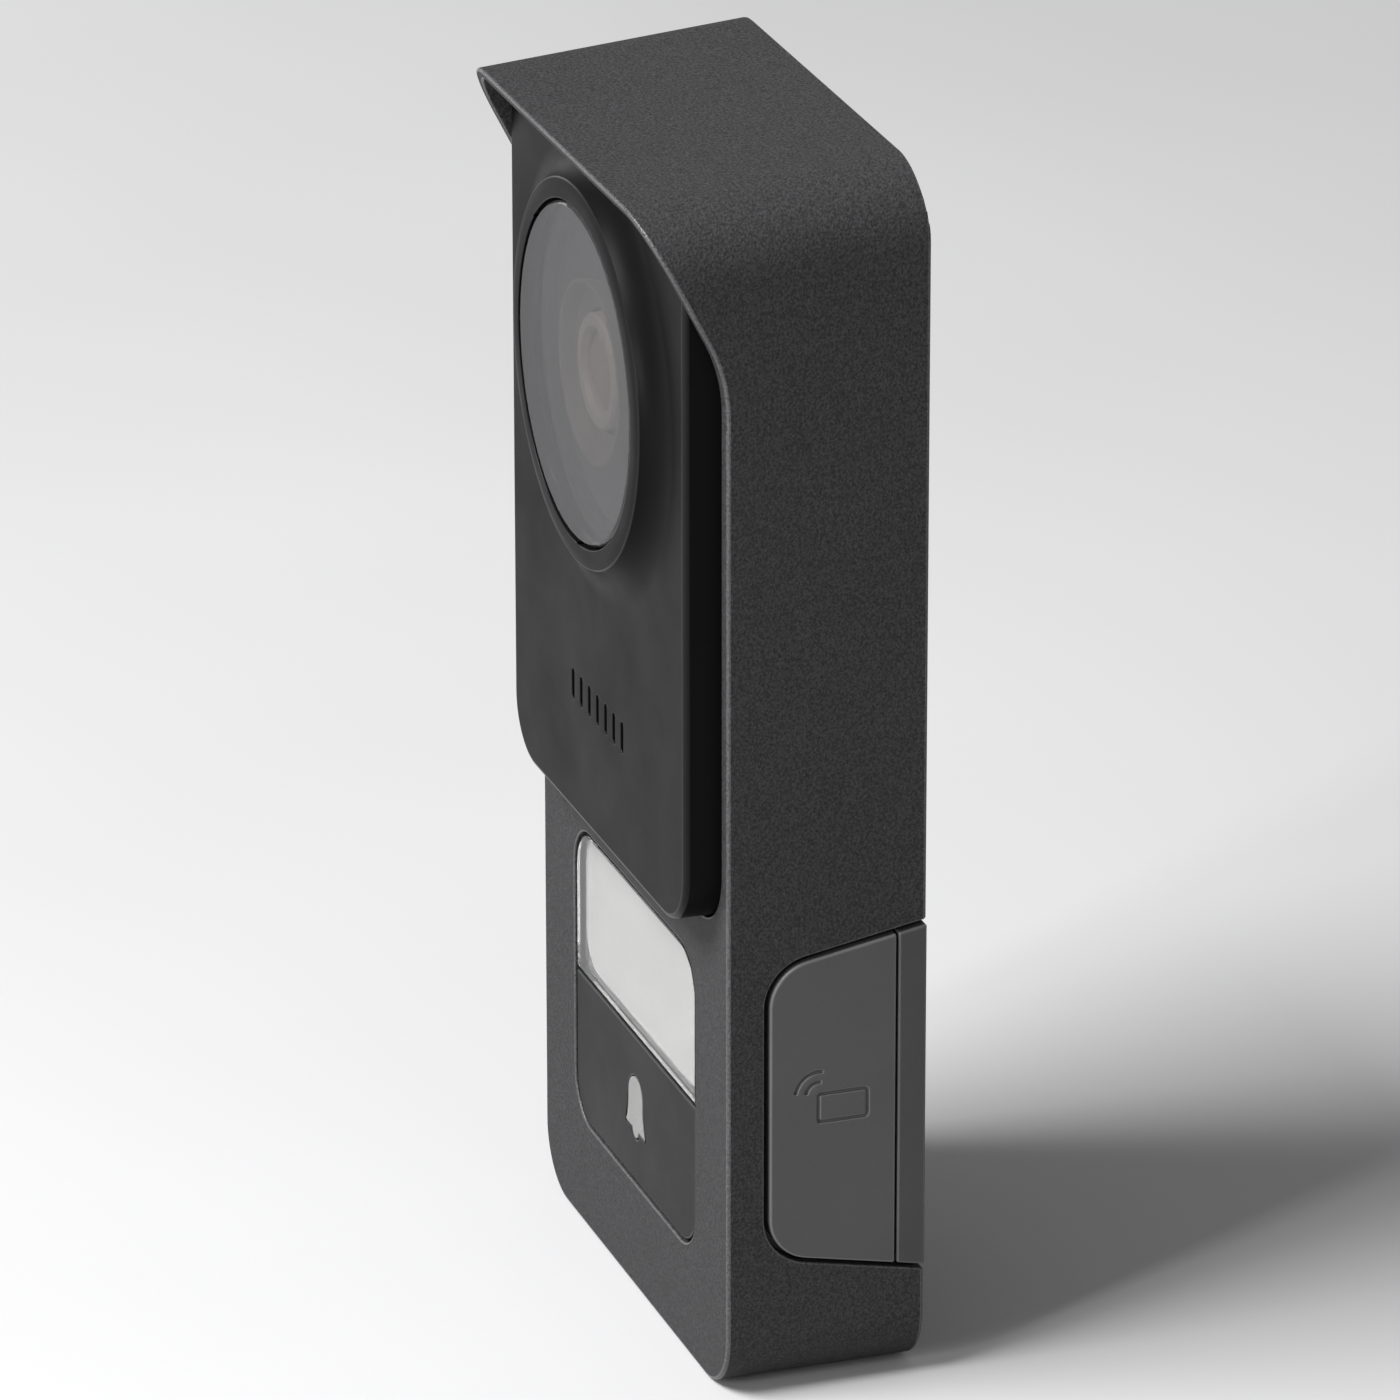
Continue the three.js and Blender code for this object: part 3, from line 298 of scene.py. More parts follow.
def prism(outline, start, end, place):
    """Prism over an outline; place(u, v, w) gives the point at w between start and end."""
    bm = bmesh.new()
    rings = [[bm.verts.new(place(p.x, p.y, w)) for p in outline] for w in (start, end)]
    bm.faces.new(rings[0])
    bm.faces.new(list(reversed(rings[1])))
    for i in range(len(outline)):
        bm.faces.new((rings[0][i - 1], rings[1][i - 1], rings[1][i], rings[0][i]))
    return mesh_of(bm)


def slab(outline, near, far, x=0, z=0):
    """Prism over an outline in X and Z, between two depths."""
    return prism(outline, near, far, lambda u, v, w: (u + x, -w, v + z))


def side_slab(outline, x0, x1):
    """Prism over an outline in depth and Z, between two X values."""
    return prism(outline, x0, x1, lambda u, v, w: (w, -u, v))


def block(x0, x1, near, far, z0, z1):
    """Box between two X values, two depths and two heights."""
    return slab(rectangle(x0, x1, z0, z1), near, far)


def circle(radius, sides=64):
    return arc_points(0, 0, radius, 0, math.tau * (1 - 1 / sides), sides - 1)


def rod(radius, near, far, x=0, z=0, sides=64):
    """Round rod square to the wall, between two depths."""
    return slab(circle(radius, sides), near, far, x, z)


def post(radius, z0, z1, x, depth, sides=64):
    """Round rod along Z."""
    return prism(circle(radius, sides), z0, z1, lambda u, v, w: (u + x, v - depth, w))


def turned(profile, closed, axis="Y", sides=128):
    """Body turned from points (radius, place along the axis). An open profile ends on the axis."""
    bm = bmesh.new()
    rings = []
    for point in profile:
        if point.x < ON_AXIS:
            rings.append([bm.verts.new(on_axis(0, 0, point.y, axis))])
            continue
        ring = []
        for k in range(sides):
            angle = math.tau * k / sides
            ring.append(bm.verts.new(
                on_axis(point.x * math.cos(angle), point.x * math.sin(angle), point.y, axis)))
        rings.append(ring)
    pairs = list(zip(rings, rings[1:] + rings[:1])) if closed else list(zip(rings, rings[1:]))
    for one, two in pairs:
        for k in range(sides):
            n = (k + 1) % sides
            corners = [one[k % len(one)], two[k % len(two)], two[n % len(two)], one[n % len(one)]]
            face = list(dict.fromkeys(corners))
            if len(face) > 2:
                bm.faces.new(face)
    return mesh_of(bm, merge=False)


def on_axis(a, b, along, axis):
    """Point at some place along the axis Y or Z, with a and b square to it."""
    return (a, along, b) if axis == "Y" else (a, b, along)


def moved(mesh, x=0, z=0):
    mesh.transform(Matrix.Translation((x, 0, z)))
    return mesh


def with_modifiers(mesh, add):
    """Mesh that results when add(object) has put modifiers on it."""
    obj = bpy.data.objects.new("work", mesh)
    bpy.context.scene.collection.objects.link(obj)
    helpers = add(obj) or []
    graph = bpy.context.evaluated_depsgraph_get()
    result = bpy.data.meshes.new_from_object(obj.evaluated_get(graph))
    for thing in [obj, *helpers]:
        bpy.data.objects.remove(thing)
    return result


def combined(operation, first, others):
    """Mesh that results when each of the others in turn is joined to the first, or cut from it."""
    def add(obj):
        helpers = []
        for other in others:
            helper = bpy.data.objects.new("tool", other)
            bpy.context.scene.collection.objects.link(helper)
            helper.hide_render = True
            modifier = obj.modifiers.new("boolean", "BOOLEAN")
            modifier.operation = operation
            modifier.solver = "EXACT"
            modifier.object = helper
            helpers.append(helper)
        return helpers
    return with_modifiers(first, add)


def joined(first, *others):
    return combined("UNION", first, others)


def cut(first, *others):
    return combined("DIFFERENCE", first, others)


def common(first, *others):
    return combined("INTERSECT", first, others)


def bevelled(mesh, width, segments=3, angle=40):
    """Mesh with its sharp edges rounded for good, before more is cut from it."""
    def add(obj):
        put_bevel(obj, width, segments, angle)
    return with_modifiers(clean(mesh), add)


def put_bevel(obj, width, segments, angle):
    """Rounds the edges that are sharper than the angle and gives them the finish of edges, which is
    lighter: a painted highlight, with some edge wear.
    """
    modifier = obj.modifiers.new("rounding", "BEVEL")
    modifier.width = width
    modifier.segments = segments
    modifier.limit_method = "ANGLE"
    modifier.angle_limit = math.radians(angle)
    modifier.use_clamp_overlap = False
    modifier.loop_slide = False
    modifier.miter_outer = "MITER_ARC"
    # The edge finish has a lighter base colour: a painted highlight on the rounded edges, with some
    # edge wear.
    modifier.material = EDGE


def clean(mesh, split=False):
    """Merges doubled points and takes out what cutting left without size. May split large faces."""
    bm = bmesh.new()
    bm.from_mesh(mesh)
    bmesh.ops.remove_doubles(bm, verts=bm.verts, dist=SPECK)
    bmesh.ops.dissolve_degenerate(bm, edges=bm.edges, dist=SPECK)
    many_sided = [face for face in bm.faces if split and len(face.verts) > 4]
    bmesh.ops.triangulate(bm, faces=many_sided)
    bm.to_mesh(mesh)
    bm.free()
    return mesh


# ---------------------------------------------------------------- shared forms

def with_fall(mesh, fall):
    """Everything above the shoulder sinks with depth, as the roof does."""
    for vertex in mesh.vertices:
        if vertex.co.z >= SHOULDER:
            vertex.co.z += fall * vertex.co.y
    return mesh


def body_outline(inset):
    """Front view of the hood, drawn in by an inset."""
    x = HALF_WIDTH - inset
    bottom = BOTTOM + inset
    top = TOP - inset
    low = BOTTOM_RADIUS - inset
    high = TOP_RADIUS - inset
    return rounded([(-x, bottom, low), (x, bottom, low), (x, top, high), (-x, top, high)])


def body_prism(inset, near, far, fall=CEILING_FALL):
    return with_fall(slab(body_outline(inset), near, far), fall)


def clamp_pocket(grow):
    """Room for the bracket's tab and clamp screw, grown all round."""
    return block(-8 - grow, 8 + grow, -1, 12.6 + grow, -FAR, -75.2 + grow)


def sealed_prism(inset, near, far):
    """The sealed inside of the unit, drawn in by an inset: it steps round the clamp pocket."""
    return cut(body_prism(inset, near, far), clamp_pocket(inset - CHASSIS_INSET))


def module_prism(inset, near, far):
    """Front view of the camera block, drawn in by an inset, between two depths."""
    x = HALF_WIDTH - HOOD_WALL - inset
    top = TOP - HOOD_WALL - inset
    bottom = MODULE_BOTTOM + inset
    low = MODULE_RADIUS - inset
    high = TOP_RADIUS - HOOD_WALL - inset
    shape = rounded([(-x, bottom, low), (x, bottom, low), (x, top, high), (-x, top, high)])
    return with_fall(slab(shape, near, far), CEILING_FALL)


def key_outline(inset):
    """Opening for nameplate and call button, drawn in by an inset."""
    x = KEY_HALF_WIDTH - inset
    return rectangle(-x, x, KEY_BOTTOM + inset, KEY_TOP - inset, KEY_RADIUS - inset)


def above_split(mesh):
    return common(mesh, block(-FAR, FAR, 0, FAR, KEY_SPLIT + KEY_GAP / 2, 0))


def below_split(mesh):
    return common(mesh, block(-FAR, FAR, 0, FAR, -FAR, KEY_SPLIT - KEY_GAP / 2))


def panel_outline(inset):
    """Side view of the card-reader panel, in depth and height."""
    front = PANEL_FRONT - inset

    def top_at(depth):
        return PANEL_TOP - inset - PANEL_TOP_FALL * depth

    def bottom_at(depth):
        return PANEL_BOTTOM + inset + PANEL_BOTTOM_RISE * depth

    return rounded([
        (-1, bottom_at(-1), 0),
        (front, bottom_at(front), PANEL_RADIUS - inset),
        (front, top_at(front), PANEL_RADIUS - inset),
        (-1, top_at(-1), 0),
    ])


def panel_block(near, far):
    """The card-reader panel between two depths."""
    whole = side_slab(
        panel_outline(PANEL_GAP), HALF_WIDTH - CHASSIS_INSET - 0.6, HALF_WIDTH + PANEL_PROUD)
    return common(whole, block(0, FAR, near, far, -FAR, FAR))


def bell_outline(grow):
    """Bell sign: a domed bell with a small clapper under its rim."""
    rim = 4 + grow
    waist = 2.9 + grow
    crown = 4.3 + grow
    foot = -3.4 - grow
    clapper = 1.2 + grow

    def flank(side):
        """The bell's flare from its rim up to its waist."""
        steps = 10
        points = []
        for k in range(steps + 1):
            t = k / steps
            x = rim * (1 - t) ** 2 + 2 * waist * t * (1 - t) + waist * t * t
            z = foot * (1 - t) ** 2 + 2 * (foot + 1.6) * t * (1 - t) + 0.6 * t * t
            points.append(Vector((side * x, z)))
        return points

    dome = arc_points(0, crown - waist, waist, math.pi, 0, 28)
    tongue = arc_points(0, foot, clapper, 0, -math.pi, 14)
    return flank(-1) + dome + flank(1)[::-1] + tongue


# ---------------------------------------------------------------- shell pieces

def hood_profile():
    """Side view of the hood: flat front, then a sweep forward to the visor's tip."""
    centre = BODY_DEPTH + WING_BEND_RADIUS
    bend = arc_points(
        centre, WING_START, WING_BEND_RADIUS, math.pi, math.pi - WING_LEAN, 16)
    top = bend[-1].y + FAR
    tip = bend[-1].x + FAR * math.tan(WING_LEAN)
    return [
        Vector((0, -FAR)), Vector((BODY_DEPTH, -FAR)), *bend, Vector((tip, top)), Vector((0, top)),
    ]


def tilt_relief():
    """Room behind the roof, so that the unit can tilt on its hooks."""
    slope = (ROOF_BACK - HOOD_BACK) / (TOP - RELIEF_START)
    high = TOP + 4
    shape = rounded([
        (-2, RELIEF_START, 0), (HOOD_BACK, RELIEF_START, 0),
        (HOOD_BACK + slope * (high - RELIEF_START), high, 0), (-2, high, 0),
    ])
    return side_slab(shape, -FAR, FAR)


def clamp_cuts():
    """Recess for the clamp screw's head, with its slot open to the wall."""
    head_room = 4.2
    shank_room = 1.9
    slot_top = -79
    below = BOTTOM - 1
    recess = block(-head_room, head_room, 0, CLAMP_DEPTH + head_room, below, -81.8)
    slot = joined(
        block(-shank_room, shank_room, 0, CLAMP_DEPTH, below, slot_top),
        post(shank_room, below, slot_top, 0, CLAMP_DEPTH),
    )
    return [recess, slot]


def hood():
    outer = common(
        body_prism(0, HOOD_BACK, VISOR_DEPTH + 2, ROOF_FALL),
        side_slab(hood_profile(), -FAR, FAR),
    )
    bosses = [rod(BOSS_RADIUS, BOSS_BACK, HOOD_INSIDE + 1, x, z) for x, z in SCREW_PLACES[2:]]
    threads = [rod(SCREW_HOLE, 0, BODY_DEPTH - 1, x, z) for x, z in SCREW_PLACES[2:]]
    shell = cut(
        bevelled(outer, width=0.5, segments=4),
        body_prism(HOOD_WALL, 0, HOOD_INSIDE),
        module_prism(0, HOOD_INSIDE - 1, VISOR_DEPTH + 4),
        slab(key_outline(0), HOOD_INSIDE - 1, BODY_DEPTH + 1),
        side_slab(panel_outline(0), HALF_WIDTH - HOOD_WALL - 1, FAR),
        tilt_relief(),
    )
    clamp_block = block(-6.2, 6.2, CASING_BACK, 12.2, BOTTOM + 1, -79.8)
    sound_hole = post(0.8, -FAR, BOTTOM + 4, MICROPHONE_X, MICROPHONE_DEPTH)
    return cut(joined(shell, clamp_block, *bosses), *clamp_cuts(), *threads, sound_hole)


def card_sign():
    """Card with radio waves, cut into the card-reader panel."""
    surface = HALF_WIDTH + PANEL_PROUD
    line = 0.5
    bottom, top = -45.1, -40.6
    near, far = 8.4, 15.8
    card = cut(
        side_slab(rectangle(near, far, bottom, top, 0.6), surface - ENGRAVING, surface + 1),
        side_slab(
            rectangle(near + line, far - line, bottom + line, top - line, 0.2), 0, FAR),
    )
    waves = []
    for radius in (1.9, 3.4):
        arc = arc_points(15.4, -41, radius, math.pi * 0.05, math.pi * 0.55, 18)
        waves.append(side_slab(strip(arc, line), surface - ENGRAVING, surface + 1))
    return [card, *waves]


def inner_body():
    outside = sealed_prism(CHASSIS_INSET, CHASSIS_BACK, CHASSIS_FRONT)
    inside = sealed_prism(CHASSIS_INSET + CHASSIS_WALL, 0, CHASSIS_FRONT - CHASSIS_WALL)
    wide = [rod(4.6, 17.5, CHASSIS_FRONT - 1, x, z) for x, z in SCREW_PLACES]
    thin = [rod(3.2, MAIN_BOARD_BACK, 18, x, z) for x, z in SCREW_PLACES]
    pins = [rod(1.6, MAIN_BOARD_FRONT + SEAT, 24, x, z) for x, z in BOARD_PINS]
    posts = common(joined(wide[0], *wide[1:], *thin), outside)
    panel = bevelled(panel_block(CHASSIS_BACK, PANEL_FRONT), PANEL_ROUNDING)
    body = joined(cut(outside, inside), posts, *pins, panel)
    holes = [rod(SCREW_HOLE, 0, BODY_DEPTH, x, z) for x, z in SCREW_PLACES]
    seats = [rod(BOSS_RADIUS + FIT, BOSS_BACK - 0.4, BODY_DEPTH, x, z) for x, z in SCREW_PLACES]
    camera_opening = slab(rectangle(-23.9, 23.9, -14.6, 74, 4), CHASSIS_FRONT - 4, BODY_DEPTH)
    key_opening = slab(key_outline(-FLANGE_WIDTH - 0.8), CHASSIS_FRONT - 3, BODY_DEPTH)
    seal_groove = cut(
        module_prism(0.9, CHASSIS_FRONT - 0.7, BODY_DEPTH),
        module_prism(2.2, CHASSIS_FRONT - 2, BODY_DEPTH + 1),
    )
    reader_pocket = side_slab(rectangle(8.2, 18.5, -60, -26, 1), 33, 36.5)
    sound_hole = post(1.2, -FAR, -78, MICROPHONE_X, MICROPHONE_DEPTH)
    return cut(
        body,
        *holes,
        *seats,
        camera_opening,
        key_opening,
        seal_groove,
        reader_pocket,
        sound_hole,
        *card_sign(),
    )


def rear_casing():
    band = sealed_prism(CHASSIS_INSET, CASING_BACK, CASING_SEAM)
    tray = cut(
        joined(band, sealed_prism(TONGUE_INSET, CASING_SEAM - 1, TONGUE_FRONT)),
        sealed_prism(TONGUE_INSET + TONGUE_WALL, CASING_BACK + CASING_WALL, PAST_TONGUE),
    )
    limits = joined(band, sealed_prism(TONGUE_INSET, CASING_SEAM - 1, PAST_TONGUE))
    pocket_width = HOOK_WIDTH + 3

    def hook_pocket(x, wall):
        half = pocket_width / 2 + wall
        return block(x - half, x + half, 0, 7.3 + wall, 70.4 - wall, 75.8 + wall)

    cups = [rod(4.3, CASING_BACK, 7.7, x, z) for x, z in SCREW_PLACES]
    pockets = [hook_pocket(x, 1.2) for x in HOOK_PLACES]
    collar = rod(3.2, CASING_BACK, 3.8, TRIMMER_X, TRIMMER_Z)
    additions = common(joined(cups[0], *cups[1:], *pockets, collar), limits)
    panel = cut(
        bevelled(panel_block(HOOD_BACK, CASING_SEAM), PANEL_ROUNDING),
        block(0, PLATE_HALF_WIDTH + PLATE_GAP, 0, CASING_BACK, -FAR, FAR),
    )
    window = rectangle(
        -CABLE_HALF_WIDTH + 1, CABLE_HALF_WIDTH - 1, CABLE_BOTTOM + 1, CABLE_TOP - 1, 2)
    body = cut(
        joined(tray, additions, panel),
        *[rod(3.1, 0, 3.4, x, z) for x, z in SCREW_PLACES],
        *[rod(SCREW_HOLE, 0, PAST_TONGUE, x, z) for x, z in SCREW_PLACES],
        *[hook_pocket(x, 0) for x in HOOK_PLACES],
        slab(window, 0, 4),
        rod(1.9, 0, 6, TRIMMER_X, TRIMMER_Z),
    )
    half = (pocket_width + 0.8) / 2
    bars = [
        prism(circle(PIVOT_RADIUS, 32), x - half, x + half,
              lambda u, v, w: (w, u - PIVOT_DEPTH, v + PIVOT_HEIGHT))
        for x in HOOK_PLACES
    ]
    return joined(body, *bars)


def wall_bracket():
    plate = slab(rectangle(
        -PLATE_HALF_WIDTH, PLATE_HALF_WIDTH, PLATE_BOTTOM, PLATE_TOP, PLATE_CORNER), 0, PLATE)
    root = PLATE - 0.2
    hang = PIVOT_HEIGHT
    hook_shape = rounded([
        (root, hang - 2.8, 0), (5.4, hang - 2.8, 0.8), (5.4, hang + 0.6, 0.4),
        (4.3, hang + 0.6, 0.4), (4.3, hang - 1.3, 0.4), (root, hang - 1.3, 0),
    ], step=0.15)
    half = HOOK_WIDTH / 2
    hooks = [side_slab(hook_shape, x - half, x + half) for x in HOOK_PLACES]
    tab = block(-6.5, 6.5, root, 10.5, -79.3, -76.9)
    slot_shape = rectangle(-1.95, 1.95, -5, 5, 1.94)
    slots = [slab(slot_shape, -1, 3, x, z) for x, z in WALL_SLOT_PLACES]
    window = rectangle(-CABLE_HALF_WIDTH, CABLE_HALF_WIDTH, CABLE_BOTTOM, CABLE_TOP, 3)
    return cut(
        joined(plate, *hooks, tab),
        slab(window, -1, 3),
        *slots,
        post(SCREW_HOLE, -82, -74, 0, CLAMP_DEPTH),
    )


# ---------------------------------------------------------------- camera fascia

def flare_profile():
    """Concave arc that rises from the module's face to the lens rim."""
    base = MODULE_DEPTH - 1.4
    steps = 20
    points = [Vector((0, -base)), Vector((FLARE_RADIUS, -base))]
    for i in range(steps + 1):
        angle = FLARE_SWEEP * i / steps
        radius = FLARE_RADIUS - FLARE_BEND * math.sin(angle)
        depth = MODULE_DEPTH + FLARE_BEND * (1 - math.cos(angle))
        points.append(Vector((radius, -depth)))
    edge = softened([
        points[-1], Vector((RIM_RADIUS + 0.3, -RIM_DEPTH + 0.1)),
        Vector((RIM_RADIUS - 0.3, -RIM_DEPTH)), Vector((0, -RIM_DEPTH)),
    ], 0.6, closed=False)
    return points + edge[1:]


def corners_of(half):
    """Corners of a square from its half width."""
    return [(-half, -half), (half, -half), (half, half), (-half, half)]


def camera_fascia():
    back = HOOD_INSIDE + SEAT
    inside = MODULE_DEPTH - MODULE_WALL
    root = inside + 0.3
    blank = bevelled(module_prism(FIT, back - 3, MODULE_DEPTH), MODULE_BEVEL, segments=5)
    flare = common(
        moved(turned(flare_profile(), closed=False, sides=160), z=LENS_HEIGHT),
        module_prism(FIT + MODULE_BEVEL, MODULE_DEPTH - 1.5, VISOR_DEPTH),
    )
    cap = cut(
        joined(blank, flare),
        block(-FAR, FAR, 0, back, -FAR, FAR),
        module_prism(FIT + MODULE_WALL, 0, inside),
    )

    def tube(outer, inner, near, height):
        return cut(
            rod(outer, near, root, 0, height, 96), rod(inner, 0, FAR, 0, height, 96))

    posts = [rod(1.9, 18.5, root, x, LENS_HEIGHT + z) for x, z in corners_of(19.5)]
    bosses = [rod(BOSS_RADIUS, BOSS_BACK, root, x, z) for x, z in SCREW_PLACES[:2]]
    window_collar = tube(24.4, 22.8, 25.9, LENS_HEIGHT)
    speaker_collar = tube(16.5, 15.4, 28, SPEAKER_HEIGHT)
    body = joined(cap, window_collar, speaker_collar, *posts, *bosses)
    slots = []
    for i in range(SLOT_COUNT):
        x = (i - (SLOT_COUNT - 1) / 2) * SLOT_PITCH
        shape = rectangle(
            -SLOT_WIDTH / 2, SLOT_WIDTH / 2, -SLOT_LENGTH / 2, SLOT_LENGTH / 2, SLOT_WIDTH * 0.49)
        slots.append(slab(shape, inside - 1, MODULE_DEPTH + 1, x, SPEAKER_HEIGHT))
    return cut(
        body,
        rod(WINDOW_RADIUS + FIT, LEDGE_DEPTH, RIM_DEPTH + 1, 0, LENS_HEIGHT, 160),
        rod(LEDGE_RADIUS, 20, RIM_DEPTH, 0, LENS_HEIGHT, 160),
        *[rod(SCREW_HOLE, 0, 29, x, z) for x, z in SCREW_PLACES[:2]],
        *slots,
    )


# ---------------------------------------------------------------- nameplate and call button

def flanged_key():
    """Block that fills the opening for nameplate and call button, with the flange behind it."""
    return joined(
        slab(key_outline(KEY_GAP), FLANGE_BACK, KEY_FACE),
        slab(key_outline(-FLANGE_WIDTH), FLANGE_BACK, FLANGE_FRONT),
    )


def nameplate_cover():
    return above_split(flanged_key())


def call_button():
    inside = KEY_FACE - KEY_WALL
    side_wall = 1.4
    hollow = common(
        slab(key_outline(KEY_GAP + side_wall), 20, inside),
        block(-FAR, FAR, 0, FAR, -FAR, KEY_SPLIT - KEY_GAP / 2 - side_wall),
    )
    actuator = rod(1.8, 23.3, inside + 0.4, 0, SWITCH_HEIGHT)
    bell_hole = slab(bell_outline(0.12), inside - 1, KEY_FACE + 1, 0, BELL_HEIGHT)
    cap = cut(below_split(flanged_key()), hollow)
    return cut(joined(cap, actuator), bell_hole)


def bell_window():
    return slab(bell_outline(0), KEY_FACE - KEY_WALL - 0.3, KEY_FACE + 0.05, 0, BELL_HEIGHT)


# ---------------------------------------------------------------- pieces made from the frame

def cad_mesh(node):
    """A copy of a CAD node's mesh, in millimetres, with its triangles joined up."""
    bm = bmesh.new()
    bm.from_mesh(frame["nodes"][node].data)
    bmesh.ops.scale(bm, vec=(1 / MM,) * 3, verts=bm.verts)
    bmesh.ops.remove_doubles(bm, verts=bm.verts, dist=1e-3)
    mesh = bpy.data.meshes.new("shape")
    bm.to_mesh(mesh)
    bm.free()
    return mesh


def with_flat_faces(mesh):
    """The mesh with each flat face made whole, unless a face with a hole in it would close up."""
    bm = bmesh.new()
    bm.from_mesh(mesh)
    area = sum(face.calc_area() for face in bm.faces)
    bmesh.ops.dissolve_limit(
        bm, angle_limit=math.radians(1), verts=bm.verts, edges=bm.edges)
    filled = sum(triangle_area(*[loop.vert.co for loop in corners])
                 for corners in bm.calc_loop_triangles())
    if abs(filled / area - 1) < 1e-3:
        bm.to_mesh(mesh)
    bm.free()
    return mesh


def triangle_area(a, b, c):
    return (b - a).cross(c - a).length / 2


def meridian(mesh, centre, axis):
    """Half section of a turned body: its points (radius, place on the axis), and if it is closed."""
    tolerance = 0.004
    points = {}
    for vertex in mesh.vertices:
        place = vertex.co - centre
        radius = place.z if axis == "Y" else place.y
        if abs(place.x) < tolerance and radius > -tolerance:
            along = vertex.co.y if axis == "Y" else vertex.co.z
            points[vertex.index] = Vector((max(radius, 0), along))
    links = {index: [] for index in points}
    for edge in mesh.edges:
        a, b = edge.vertices
        if a in points and b in points:
            links[a].append(b)
            links[b].append(a)
    ends = [index for index, near in links.items() if len(near) == 1]
    closed = not ends
    row = [ends[0] if ends else next(iter(links))]
    while True:
        onward = [n for n in links[row[-1]] if n not in row]
        if not onward:
            break
        row.append(onward[0])
    return [points[index] for index in row], closed


def returned(node, axis="Y", soften=0.15):
    """A turned CAD body made again with a fine round and rounded corners."""
    mesh = cad_mesh(node)
    low, high = box_mm(node)
    centre = (low + high) / 2
    points, closed = meridian(mesh, centre, axis)
    shape = turned(softened(points, soften, closed), closed, axis)
    shape.transform(Matrix.Translation(
        (centre.x, 0, centre.z) if axis == "Y" else (centre.x, centre.y, 0)))
    return shape


# ---------------------------------------------------------------- materials

def colour(value):
    """Linear colour with full alpha, from sRGB parts of 0 to 255."""
    parts = [part / 255 for part in value]
    linear = [c / 12.92 if c < 0.04045 else ((c + 0.055) / 1.055) ** 2.4 for c in parts]
    return (*linear, 1)


def shaded(value, factor):
    return tuple(min(255, part * factor) for part in value)


class Nodes:
    """Short way to add and link nodes in a material."""

    def __init__(self, name):
        self.material = bpy.data.materials.new(name + "_finish")
        self.material.use_nodes = True
        self.tree = self.material.node_tree
        self.shader = self.tree.nodes["Principled BSDF"]
        self.place = self.tree.nodes.new("ShaderNodeTexCoord").outputs["Object"]

    def add(self, kind, **inputs):
        node = self.tree.nodes.new(kind)
        for name, value in inputs.items():
            self.put(node, name.replace("_", " "), value)
        return node

    def put(self, node, name, value):
        self.fill(node.inputs[name], value)

    def fill(self, socket, value):
        """Links the socket to another node's output, or gives it a constant."""
        if isinstance(value, bpy.types.NodeSocket):
            self.tree.links.new(value, socket)
        else:
            socket.default_value = value

    def noise(self, scale, detail=3, roughness=0.55):
        """Noise whose features are about 1/scale millimetres across."""
        node = self.add("ShaderNodeTexNoise", Scale=scale / MM, Detail=detail, Roughness=roughness)
        self.put(node, "Vector", self.place)
        return node.outputs["Fac"]

    def grains(self, scale):
        """Distance to the nearest of many scattered grains."""
        node = self.add("ShaderNodeTexVoronoi", Scale=scale / MM, Randomness=1.0)
        self.put(node, "Vector", self.place)
        return node.outputs["Distance"]

    def ramp(self, fac, low, high, start=0.3, end=0.7):
        """Runs from low to high as fac goes from start to end. Numbers or colours."""
        if not isinstance(low, tuple):
            node = self.add("ShaderNodeMapRange")
            self.put(node, "Value", fac)
            values = (("From Min", start), ("From Max", end), ("To Min", low), ("To Max", high))
            for name, value in values:
                self.put(node, name, value)
            return node.outputs["Result"]
        node = self.add("ShaderNodeValToRGB")
        self.put(node, "Fac", fac)
        ends = node.color_ramp.elements
        ends[0].position, ends[0].color = start, low
        ends[1].position, ends[1].color = end, high
        return node.outputs["Color"]

    def mix(self, fac, one, two):
        """Colour between two others. The node's sockets share names, so they go by their places."""
        node = self.tree.nodes.new("ShaderNodeMix")
        node.data_type = "RGBA"
        for place, value in ((0, fac), (6, one), (7, two)):
            self.fill(node.inputs[place], value)
        return node.outputs[2]

    def sum(self, one, two, how="ADD"):
        node = self.tree.nodes.new("ShaderNodeMath")
        node.operation = how
        for socket, value in zip(node.inputs, (one, two)):
            self.fill(socket, value)
        return node.outputs[0]

    def bump(self, height, depth, strength=1.0):
        """Relief of the given depth in millimetres."""
        node = self.add("ShaderNodeBump", Strength=strength, Distance=depth * MM, Height=height)
        self.put(self.shader, "Normal", node.outputs["Normal"])


def plastic(name, base, rough, grain=2.2, relief=0.02, spread=0.12, sheen=0.5, metal=0.0):
    """Moulded plastic, rubber or board: faint mottling, a fine grain and uneven gloss."""
    n = Nodes(name)
    slow = n.noise(0.06, detail=4)
    fine = n.noise(grain, detail=3)
    dark, light = colour(shaded(base, 1 - spread)), colour(shaded(base, 1 + spread))
    n.put(n.shader, "Base Color", n.mix(0.35, n.ramp(slow, dark, light), n.ramp(fine, dark, light)))
    n.put(n.shader, "Roughness", n.ramp(slow, rough * 0.85, min(1, rough * 1.15)))
    n.put(n.shader, "Metallic", metal)
    n.put(n.shader, "Specular IOR Level", sheen)
    n.bump(fine, relief)
    return n.material


